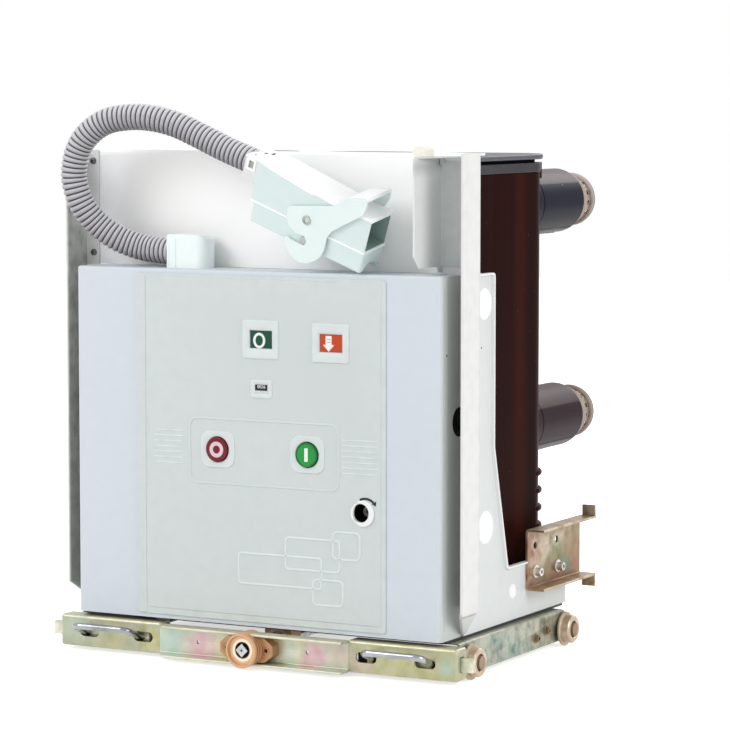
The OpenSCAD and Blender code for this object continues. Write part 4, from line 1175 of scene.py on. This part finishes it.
def buttons():
    """Both buttons, each ring of colour a piece of its own."""
    for name, button, colour, rings in (
            ("trip", trip, "button_red", (
                ("rim", RED, ((16.5, 0), (16.5, 14.5), (0.6, 14.5), (0, 13.6), (0, 9.6), (16, 9.6))),
                ("band", PINK, ((12, 9.7), (0.3, 9.7), (0.3, 4.8), (12, 4.8))),
                ("core", RED, ((12, 4.9), (0.4, 4.9), (0, 4.2), (0, 0))))),
            ("close", close, "button_green", (
                ("rim", GREEN_RIM, ((16.5, 0), (16.5, 14.5), (0.5, 14.5), (0, 13.8), (0.6, 12.8),
                                    (12, 12.8))),
                ("dish", GREEN, ((12, 12.9), (0.9, 12.9), (0.5, 0)))))):
        for part, finish, profile in rings:
            ob = turned(name + "_" + part, profile, (button.x, button.y0, BUTTON_Z))
            finished(ob, colour, finish, *([name + "_button"] if part == "rim" else []), body=name)
    bar = plate("close_mark", [box_ring(close.x - 2.3, BUTTON_Z - 8, close.x + 2.3, BUTTON_Z + 8, 0.8, 3)],
                "y", close.y0, close.y0 + 1.2, 0.3)
    finished(bar, "plug_plastic", WHITE_MARK, body="close")


def charging_socket():
    """The raised lip, the shaft's end in its well and the arrow above."""
    x, z = CHARGE
    lip = plate("charging_lip", [round_ring(x + 3.4, z - 0.4, 14.4, 15.6), round_ring(x, z, 10.9)], "y",
                face.y0 - 2.6, face.y0 + 0.5, 1.6, 4)
    finished(lip, "plate_paint", CRESCENT)
    tip = turned("charging_tip", [(30, 7.0), (-0.2, 7.0), (-1.2, 6.0), (-1.2, 3.2), (0.4, 2.6), (0.4, 0)],
                 (x, shaft.y0, z))
    finished(tip, "dark_steel", STUD, body="charging")
    outer = arc(x + 6, z + 1.5, 17, range(118, 47, -5))
    inner = arc(x + 6, z + 1.5, 14.4, range(48, 119, 5))
    end = Vector(outer[-1]).lerp(Vector(inner[0]), 0.5)
    head = [(end.x + 3.4, end.y + 1.6), (end.x + 3.2, end.y - 4.2), (end.x - 2.2, end.y - 1.6)]
    marks = [plate(name, [line], "y", face.y0 - 0.35, face.y0 + 0.4)
             for name, line in (("charging_arrow", outer + inner), ("arrow_head", head))]
    finished(joined("charging_arrow", *marks), "plate_paint", MARK)


windows()
buttons()
charging_socket()

# ---- frame: columns, side plates, baffle and plug holder ----


def frame_column():
    """A bent strip that stands out from the side, with its foot drawn in to the plate."""
    x1, y0, y1, top = column.x1, column.y0, column.y1, column.z1
    t, foot, low = 2.5, 82, column.z0
    strip = plate("column_strip", [rounded([(x1, top), (x1, foot), (side.x0 + SHEET + t, low),
                                            (side.x0 + SHEET, low), (side.x0 + SHEET, low + 1),
                                            (x1 - t, foot + 1), (x1 - t, top)], 0)], "y", y0, y1, 0.6)
    corner = plate("corner", [[(y0 - 3, foot + 2), (y0, foot), (y0 + 38, low), (y0 + 38, low - 3),
                               (y0 - 3, low - 3)]], "x", column.x0 - 9, x1 + 3)
    cut(strip, corner)
    flange = block("column_flange", (column.x0, y1 - t, foot + 1), (x1 - 0.8, y1, top - 0.4), 0.5)
    return joined("column_sheet", strip, flange)


def side_plate():
    """A sheet with a slanting rear edge and a folded rim along it."""
    z0, z1, y0, y1 = side.z0, side.z1, side.y0, side.y1
    x0, x1 = side.x0, side.x0 + SHEET
    rim, ledge, rear, bend, foot = 2.5, 115, 130, 263, 168
    slant = [(y0, z1), (rear, z1, 5), (rear, bend, 8), (foot, ledge, 6), (y1, ledge, 2), (y1, z0), (y0, z0)]
    sheet = lined(plate("side_sheet", [rounded(slant)], "x", x0, x1, 0.5), SIDE)
    # The pinhole is lined black as painted shade.
    cut(sheet, lined(block("slit", (x0 - 1, 87.6, 384), (x1 + 1, 88.8, 420)), SLIT),
        lined(rod("pinhole", 1.2, (x0 - 1, 100, 383), (x1 + 1, 100, 383), "x", sides=16), SHADE_BLACK))
    outer = rounded([(y0, z1), (rear, z1, 5), (rear, bend, 8), (foot, ledge, 6), (bracket.y0 - 1, ledge),
                     (bracket.y0 - 1, ledge - rim), (foot - rim, ledge - rim, 6), (rear - rim, bend, 8),
                     (rear - rim, z1 - rim, 3), (y0, z1 - rim)])
    # The rim takes the paler copy of the side paint as painted highlight.
    edge = lined(plate("side_rim", [outer], "x", x1 - 0.3, side.x1, 0.6), LIT_SIDE_RIM)
    return joined("side_sheet", sheet, edge)


def baffle_sheet():
    """The upright sheet behind the plug, folded back along its top."""
    t = 2.5
    y0, y1, z0, z1 = baffle.y0, baffle.y1, baffle.z0, baffle.z1
    fold = rounded([(y0, z0), (y0 + t, z0), (y0 + t, z1 - t, 1.2), (y1, z1 - t), (y1, z1), (y0, z1, 3.4)])
    ob = plate("baffle_sheet", [fold], "x", baffle.x0, baffle.x1, 0.5)
    finished(ob, "baffle_paint", BAFFLE, "baffle_panel")


def plug_holder_sheet():
    """The folded fin that the plug is parked on, with its bumper."""
    x0, y0, y1, z0, z1 = holder.x0, holder.y0, holder.y1, holder.z0, holder.z1
    fin = rounded([(y1, z1), (y0, z1, 4), (y0, z0 + 21, 3), (y0 + 14, z0 + 7, 3), (y1 - 11, z0 + 7, 2),
                   (y1 - 11, z0, 2), (y1, z0)])
    web = plate("holder_fin", [fin], "x", x0, x0 + 2.5, 0.6)
    strip = block("holder_fold", (x0 + 1, y1 - 2.5, z0 + 7), (holder.x1, y1, z1 - 7), 0.6)
    cap = plate("holder_cap", [[(x0, y0 + 10), (x0 + 6, y0 + 10), (holder.x1, y1 - 1), (x0, y1 - 1)]], "z",
                z1 - 2.2, z1 - 0.2, 0.5)
    tab = block("holder_tab", (x0 + 4, y1 - 9, z1 - 10), (x0 + 7, y1 - 2, z1 - 1), 0.4)
    finished(joined("holder_sheet", web, strip, cap, tab), "side_paint", HOLDER, "plug_holder")
    pad = block("bumper_pad", bumper.low, bumper.high)
    with Bench(pad) as bench:
        bench.edges(lambda m, d: m.z > bumper.z0 + 1)
        bench.bevel(4.2, 6)
    finished(pad, "bumper_rubber", RUBBER, "rubber_bumper")


both_sides(frame_column, "column_sheet", "side_paint", COLUMN, "column")
both_sides(side_plate, "side_sheet", "side_paint", None, "side_plate")
baffle_sheet()
plug_holder_sheet()


def side_cap(y, z, r):
    """A white cap pressed into the side plate's hole."""
    profile = [(-1, 0), (-1, r), (0.3, r), (1.2, r - 1.2), (1.4, r - 3), (1.0, r * 0.6), (0.9, 0)]
    return turned("side_cap", profile, (side.x0 + SHEET, y, z), "x")


for y, z, r in ((107.5, 434, 18.6), (112, 169.5, 19.8), (187, 83, 9.2)):
    both_sides(lambda: side_cap(y, z, r), "side_cap", "side_paint", SIDE_CAP, tail="_%d" % round(z))


def column_screws():
    """Round-headed screws that hold the baffle to the columns' inner flanges."""
    profile = [(0.3, 4.2), (-1.4, 4.0), (-2.6, 2.8), (-2.8, 1.9), (-1.6, 1.7), (-1.6, 0)]
    for hand, s in HANDS:
        for z in (597, 485):
            name = "column_screw_%s_%d" % (hand, z)
            head = turned(name, profile, (s * 257.5, column.y1 - 2.5, z), steps=32)
            finished(head, "bright_steel", DARK_STUD)


def side_bolts(kind, x, spots, head, washer, finish):
    """Socket screws, each with its washer, on both sides of the machine."""
    rim, thick = washer
    profile = [(0.2, rim), (0.4 - thick, rim), (-thick, rim - 0.6), (-thick, 0)]
    for hand, s in HANDS:
        for y, z in spots:
            name = "%s_bolt_%s_%d" % (kind, hand, y)
            place = MACHINE @ shift(s * x, y, z) @ spun(90 * s, "Z")
            ring = turned("washer", profile, (0, 0, 0), place=place)
            finished(joined(name, hex_head(name, *head, place), ring), "bright_steel", finish)


column_screws()

# ---- truck ----


def beam_end_piece():
    """A hollow end of the beam with slots for its handle's legs and its tongue."""
    b, t = beam_end, SHEET
    ob = lined(block("beam_box", b.low, b.high), ZINC_END)
    with Bench(ob) as bench:
        bench.edges(lambda m, d: abs(d.x) > 0.9 or m.x > b.x1 - 1)
        bench.bevel(4, 4)
    # The hollow's walls take the dark painted shade.
    cut(ob, lined(block("hollow", (b.x0 - 2, b.y0 + t, b.z0 + t), (b.x1 - t, b.y1 - t, b.z1 - t), 2),
                  BEAM_INSIDE_SHADE))
    for x in (handle.x0 + 4, handle.x1 - 4):
        slot = box_ring(x - 21, BEAM_Z - 6, x + 6, BEAM_Z + 6, 5.9, 8)
        cut(ob, plate("leg_slot", [slot], "y", b.y0 - 2, b.y0 + t + 1))
    cut(ob, block("tongue_slot", (b.x1 - t - 1, tongue.y0 - 1, tongue.z0 - 1),
                  (b.x1 + 2, tongue.y1 + 1, tongue.z1 + 1)))
    return eased(ob, 0.5, 2, 50)


def beam_middle():
    """A channel with a slanted corner, two screw holes and the screw's bearing."""
    b, t = beam_mid, SHEET
    channel = rounded([(b.y0, b.z0, 1), (b.y1, b.z0, 4), (b.y1, b.z1, 4), (b.y0, b.z1, 1),
                       (b.y0, b.z1 - t, 1), (b.y1 - t, b.z1 - t, 1.5), (b.y1 - t, b.z0 + t, 1.5),
                       (b.y0, b.z0 + t, 1)], 0, 4)
    ob = plate("beam_channel", [channel], "x", b.x0, b.x1, 0.5)
    corner = [(b.x0 - 3, b.y1 - t), (b.x0 + 0.01, b.y1 - t), (b.x0 + 16, b.y0), (b.x0 + 16, b.y0 - 3),
              (b.x0 - 3, b.y0 - 3)]
    cut(ob, plate("corner", [corner], "z", b.z0 - 2, b.z1 + 2),
        *(bore("hole", radius, x, BEAM_Z, b.y1 - t - 2, b.y1 + 2)
          for x, radius in ((-75, 2.5), (75, 2.5), (0, 9.1))))
    finished(ob, "zinc_middle", ZINC_MID, "front_beam_middle", body="beam")


def racking_socket():
    """A grooved ring on an eight-sided flange."""
    flange_y, back = -20, -5
    half_w, half_h, r = 36, 15, 21
    octagon = [(-half_w, 6 - half_h + 3), (-half_w + 12, -half_h), (half_w - 12, -half_h),
               (half_w, 9 - half_h), (half_w, half_h - 9), (half_w - 12, half_h), (12 - half_w, half_h),
               (-half_w, half_h - 9)]
    flange = plate("socket_flange", [rounded([(x, BEAM_Z + z) for x, z in octagon], 2, 3)], "y",
                   flange_y, back, 0.8)
    profile = [(back - 0.1, r), (-22.6, r), (-23, 19.6), (-24.6, 19.6), (-25, r), (-27.2, r), (-27.6, 19.6),
               (-29, 19.6), (-29.4, r), (-32.2, r), (-33, 20.2), (-33, 18.2), (-29.5, 17.5), (-29.5, 13.8),
               (-28.6, 13.2), (-28.6, 9.6), (-12, 9.6)]
    body = turned("socket_body", [(y - back, radius) for y, radius in profile], (0, back, BEAM_Z), steps=72)
    for x in (-27, 27):
        cut(flange, bore("hole", 2.5, x, BEAM_Z, flange_y - 2, -13),
            turned("ring_mark", [(-1, 4.2), (0.5, 4.2), (0.5, 5.0), (-1, 5.0), (-1, 4.2)],
                   (x, flange_y, BEAM_Z), steps=32))
    finished(joined("socket_ring", flange, body), "socket_brass", SOCKET, "racking_socket", body="beam")


def racking_screw():
    """A square for the crank on its corner, a journal and the long thread."""
    lead, root, crest, across = 10, 6.2, 7.0, 11.8
    only()
    bpy.ops.mesh.primitive_cube_add(size=1, location=(0, 0, 0),
                                    scale=(across * MM, 19.5 * MM, across * MM))
    square = named(bpy.context.object, "screw_square")
    square = eased(settled(square, MACHINE @ shift(0, -21.2, BEAM_Z) @ spun(45, "Y")), 0.7, 2)
    cut(square, bore("centre", 1.4, 0, BEAM_Z, -32, -28, sides=24))
    journal = bore("journal", 9, 0, BEAM_Z, -12, -2)
    core = bore("core", root, 0, BEAM_Z, -3, screw.y1, sides=32)
    rise = ((root - 0.3, 0, 0), (crest, 0, 2.2), (crest, 0, 5.0), (root - 0.3, 0, 7.2))
    wire("thread", [rise])
    thread = applied(meshed(), "SCREW", angle=2 * math.pi, screw_offset=lead * MM, steps=24, render_steps=24,
                     iterations=int((screw.y1 - 4) / lead) - 1, use_merge_vertices=False)
    settled(thread, MACHINE @ shift(0, 4, BEAM_Z) @ SPUN["y"])
    with Bench(thread):  # close both ends
        bpy.ops.mesh.select_mode(type="EDGE")
        bpy.ops.mesh.select_non_manifold()
        bpy.ops.mesh.edge_face_add()
    whole = joined("screw_and_square", square, journal, core, outward(thread))
    finished(whole, "bright_steel", STEEL, "racking_screw", body="screw")


def truck_rail():
    """A channel with bent flanges, its upper rear corner rounded off."""
    r = rail
    section = rounded([(r.x0, r.z0, 0.5), (r.x1, r.z0, 4), (r.x1, r.z1, 4), (r.x0, r.z1, 0.5),
                       (r.x0, r.z1 - 2, 0.5), (r.x1 - 3, r.z1 - 2, 2), (r.x1 - 3, r.z0 + 2, 2),
                       (r.x0, r.z0 + 2, 0.5)], 0, 4)
    ob = plate("rail_channel", [section], "y", r.y0, r.y1, 0.4)
    r_end = 14  # of the rounded corner
    y, z = r.y1 - r_end, r.z1 - r_end
    corner = arc(y, z, r_end, range(90, -1, -10)) + [(r.y1 + 4, z), (r.y1 + 4, r.z1 + 4), (y, r.z1 + 4)]
    return cut(ob, plate("corner", [corner], "x", r.x0 - 2, r.x1 + 2))


def wheel():
    """A flanged wheel with a dished face and a separate hub, turned about its axle."""
    w = Room("wheel_rear_right")
    spot = (w.x0, w.y, w.z)
    tread = ((0, 6.1), (0, 19.5), (1.0, 21), (3.2, 21), (4.0, 20), (4.4, 17.5), (12.6, 17.0), (14, 15.6),
             (14, 10.6), (13.2, 10), (12.4, 10), (12.4, 6.1), (0, 6.1))
    # The groove ring is coloured near black as painted shade.
    groove = ((12.3, 10), (12.6, 10), (12.6, 7.6), (12.3, 7.6), (12.3, 10))
    hub = ((12.3, 8.2), (13.6, 8.2), (14, 7.8), (14, 6.1), (12.3, 6.1), (12.3, 8.2))
    parts = [lined(turned("ring", profile, spot, "x", steps), finish) for profile, steps, finish
             in ((tread, 64, WHEEL), (groove, 48, GROOVE_SHADE), (hub, 48, HUB))]
    return joined("wheel", *parts)


def wheels():
    """The four wheels, each on its own body."""
    first = wheel()
    forward = Room("wheel_front_right").y0 - Room("wheel_rear_right").y0
    for end, move in (("rear", 0), ("front", forward)):
        right = copied(first, "roller_%s_right" % end, (0, move, 0))
        left = mirrored(right, "roller_%s_left" % end)
        for ob, hand in ((right, "right"), (left, "left")):
            body = "wheel_%s_%s" % (end, hand)
            finished(ob, "wheel_steel", None, body, body=body)
    scrap(first)


both_sides(beam_end_piece, "beam_box", "zinc_plate", None, "front_beam", "beam")
beam_middle()
racking_socket()
racking_screw()
both_sides(truck_rail, "rail_channel", "zinc_rail", ZINC_RAIL, "rail")
wheels()
side_bolts("rail", rail.x1, ((232, 20), (262, 25)), (4.2, 5.0), (6.4, 1.2), HUB)

# ---- shutter brackets ----


def shutter_bracket():
    """A channel with two holes and a tab at each rear corner."""
    b, t = bracket, SHEET
    low, high = b.z0 + 13.5, b.z1 - 13.5
    section = rounded([(b.x1, low, 0.5), (b.x0, low, 4), (b.x0, high, 4), (b.x1, high, 0.5),
                       (b.x1, high - t, 0.5), (b.x0 + t, high - t, 1.5), (b.x0 + t, low + t, 1.5),
                       (b.x1, low + t, 0.5)], 0, 4)
    ob = plate("bracket_channel", [section], "y", b.y0, b.y1, 0.5)
    for y in (b.y0 + 21, b.y0 + 83):
        cut(ob, rod("hole", 4.5, (b.x0 - 2, y, low + 53), (b.x0 + t + 2, y, low + 53), "x", sides=32))
    tabs = [block("tab", (b.x1 - 18, b.y1 - t, z), (b.x1, b.y1, z + 16.5), 0.8) for z in (b.z0, high - t)]
    return joined("bracket_channel", ob, *tabs)


both_sides(shutter_bracket, "bracket_channel", "bracket_zinc", BRACKET, "shutter_bracket")
side_bolts("bracket", bracket.x0 + 3, ((246, 99.5), (309.5, 98)), (5.2, 8.5), (8.2, 1.4), BOLT)

# ---- poles ----

POLE_HALF, POLE_REAR, POLE_CORNER = 62.5, upper_arms.y0 - 3, 50
SHED_PITCH, SHED_DROP = 21.9, 55
SHED_Z = [ARM_Z["lower"] - SHED_DROP - SHED_PITCH * k for k in range(4)]


def pole_outline(grow=0.0, front=housing.y1, back=0.0):
    r, rear, half = POLE_CORNER + grow, POLE_REAR + grow + back, POLE_HALF + grow
    return rounded([(-half, front), (half, front), (half, rear, r), (-half, rear, r)], 0, 16)


def pole_body():
    """A casting with a plain shell, four sheds at its lower back and a step round each arm."""
    parts = [plate("pole_casting", [pole_outline()], "z", pole.z0, caps.z0, 1.0, 2)]
    for z in SHED_Z:
        shed = plate("shed", [pole_outline(back=10.5)], "z", z - 4, z + 4, 3.6, 5)
        cut(shed, block("front_part", (-80, 90, z - 6), (80, POLE_REAR - 44, z + 6)))
        parts.append(shed)
    for z in ARM_Z.values():
        parts.append(turned("step", [(0, 0), (0, ARM_R - 2.6), (12.6, ARM_R - 2.6), (12.6, 0)],
                            (0, POLE_REAR - 9.4, z), steps=64))
    return joined("pole_casting", *parts)


def poles():
    first = pole_body()
    for name, x in POLES_X.items():
        ob = copied(first, "pole_casting_" + name, (x, 0, 0))
        finished(ob, "epoxy_brown", EPOXY, "pole_" + name)
    scrap(first)


def pole_cap():
    """A rim with its latch, a narrow gap coloured near black as painted shade, and a thin lid with a rounded
    lower edge.
    """
    z = caps.z0
    rim = lined(plate("cap_rim", [pole_outline(1.5)], "z", z, z + 11.5, 1.2, 3), CAP_RIM)
    corner = MACHINE @ shift(POLE_HALF - POLE_CORNER, POLE_REAR - POLE_CORNER, 0) @ spun(-45, "Z")
    latch = block("latch", (-4.7, 47, z - 8.5), (4.7, 54.5, z + 11.5), 0.8, place=corner)
    cut(latch, block("eye", (-2.4, 44, z - 2.6), (2.4, 58, z + 2.4), place=corner))
    neck = lined(plate("cap_neck", [pole_outline(-6)], "z", z + 10, z + 17), CAP_GAP_SHADE)
    disc = plate("cap_disc", [pole_outline(4, front=housing.y1 + 0.5)], "z", z + 15.5, caps.z1, 2.6, 5)
    return joined("pole_cap", rim, neck, lined(disc, CAP), lined(latch, LATCH))


poles()
finished(three("pole_tops", pole_cap()), "cap_grey", None, "pole_caps")


def arm_sleeve(z):
    """A straight sleeve with a groove near its root, a rounded nose and a seam along its underside."""
    y0, y1, r, nose = upper_arms.y0, upper_arms.y1, ARM_R, 10
    long, slim = y1 - y0, r - 1.45
    profile = [(0, 0), (0, r - 0.6), (0.6, r), (17, r - 0.4), (17.8, r - 1.8), (19.4, r - 1.8),
               (20.2, r - 0.5), (103, slim), (long - nose, slim)]
    profile += arc(long - nose, slim - nose, nose, range(75, -1, -15)) + [(long, 0)]
    sleeve = turned("sleeve", profile, (0, y0, z), steps=72)
    seam = block("seam", (-1.2, y0 + 24, z - r + 0.4), (1.2, y1 - 12, z - r + 6), 0.5)
    return joined("sleeve", sleeve, seam)


def contact(z):
    """A ring of separate fingers on a carrier coloured near black as painted shade, between rows of spring
    rings, on a round foot.
    """
    y, count = upper_contacts.y0, 14
    foot = turned("foot", [(0, 0), (0, 23), (1, 24), (8, 24), (8, 0)], (0, y, z))
    middle = MACHINE @ shift(0, y, z)
    shape = rounded([(6, 22.6), (44.6, 22.6), (44.6, 26), (42, 29.6), (8, 29.6), (6, 26)], 0.9, 2)
    finger = plate("finger", [shape], "x", -3.9, 3.9, 0.6, 2, middle)
    fingers = [copied(finger, "finger", turn=middle @ spun(360 * (k + 0.3) / count, "Y") @ middle.inverted())
               for k in range(count)]
    scrap(finger)
    fingers = lined(joined("fingers", foot, *fingers), COPPER)
    tube = turned("carrier", [(8, 17.6), (44, 17.6), (44, 24.6), (8, 24.6), (8, 17.6)], (0, y, z))
    rings = []
    for low, high, top, finish in ((3.5, 8.5, 34, SPRING), (9.5, 14, 34, SPRING), (14.6, 19.6, 34, SPRING),
                                   (36.6, 41, 34, SPRING), (41.2, 44.8, 33, SPRING_EDGE)):
        middle, half, tall = (low + high) / 2, (high - low) / 2, 3.4
        shape = [(middle + half * u, top - tall + tall * v) for u, v in arc(0, 0, 1, range(0, 361, 30))]
        rings.append(lined(turned("spring", shape, (0, y, z), steps=64), finish))
    return joined("contact", fingers, lined(tube, FINGER_GAP_SHADE), *rings)


for level, finish, slot in (("upper", SLEEVE, "sleeve_grey"), ("lower", SLEEVE_LOW, "sleeve_brown")):
    sleeves = three(level + "_sleeves", arm_sleeve(ARM_Z[level]))
    finished(sleeves, slot, finish, level + "_arms")
    fingers = three(level + "_fingers", contact(ARM_Z[level]))
    finished(fingers, "contact_copper", None, level + "_contacts")

# ---- finishes on the pieces that keep their CAD shape ----

KEPT = {
    "guide_bars": ZINC_RAIL, "screw_nut": SOCKET, "latch_left": ZINC_END, "latch_right": ZINC_END,
    "handle_left": CHROME, "handle_right": CHROME, "rear_crossbar": ZINC_RAIL, "base_plate": PLATE_BLACK,
    "axles": HUB, "mechanism_housing": COVER, "charging_shaft": DARK,
}
for name, finish in KEPT.items():
    piece = bpy.data.objects[name]
    piece.data.materials.clear()
    lined(piece, finish)

# ---- light, floor and backdrop ----

LIT = (0, 0, 0.3)  # the place that the lamps look at, in metres


def lamp(name, place, power, size):
    """A square lamp, with its power in watts and its size in metres."""
    only()
    bpy.ops.object.light_add(type="AREA", location=place)
    ob = named(bpy.context.object, name)
    ob.data.energy = power
    ob.data.size = size
    aim = Vector(LIT) - Vector(place)
    ob.rotation_euler = aim.to_track_quat("-Z", "Y").to_euler()


lamp("key_light", (-1.6, -2.6, 2.4), 54, 2.0)
lamp("side_light", (3.0, -0.6, 1.6), 30, 1.4)
lamp("back_light", (0.4, 3.0, 2.2), 40, 1.6)


def looked_at(tree):
    """One where the camera looks, straight or by way of a reflection, and nought for the light."""
    path = node(tree, "ShaderNodeLightPath").outputs
    return sums(tree, "MAXIMUM", path["Is Camera Ray"],
                sums(tree, "MAXIMUM", path["Is Glossy Ray"], path["Is Transmission Ray"]))


def plain_world():
    """White to the eye, and softer as a light."""
    world = bpy.context.scene.world or bpy.data.worlds.new("world")
    bpy.context.scene.world = world
    world.use_nodes = True
    tree = world.node_tree
    tree.nodes.clear()
    soft, white = (node(tree, "ShaderNodeBackground", {"Color": (1, 1, 1, 1), "Strength": strength})
                   for strength in (0.6, 1.0))
    mix = node(tree, "ShaderNodeMixShader", {0: looked_at(tree), 1: soft.outputs[0], 2: white.outputs[0]})
    node(tree, "ShaderNodeOutputWorld", {"Surface": mix.outputs[0]})


def pale_floor():
    """A matt floor that glows a little to the camera, so that it meets the backdrop."""
    only()
    bpy.ops.mesh.primitive_plane_add(size=14, location=(0, 0, 0))
    ob = named(bpy.context.object, "floor")
    f = Finish("Floor", Roughness=0.9)
    f.shader.inputs["Base Color"].default_value = (0.85, 0.85, 0.85, 1)
    glow = node(f.tree, "ShaderNodeEmission", {"Color": (1, 1, 1, 1),
                                               "Strength": times(f.tree, looked_at(f.tree), 0.64)})
    both = node(f.tree, "ShaderNodeAddShader", {0: f.shader.outputs[0], 1: glow.outputs[0]})
    out = next(n for n in f.tree.nodes if n.type == "OUTPUT_MATERIAL")
    fed(f.tree, out, {"Surface": both.outputs[0]})
    lined(ob, f.material)


plain_world()
pale_floor()
bpy.context.scene.view_settings.view_transform = "Standard"
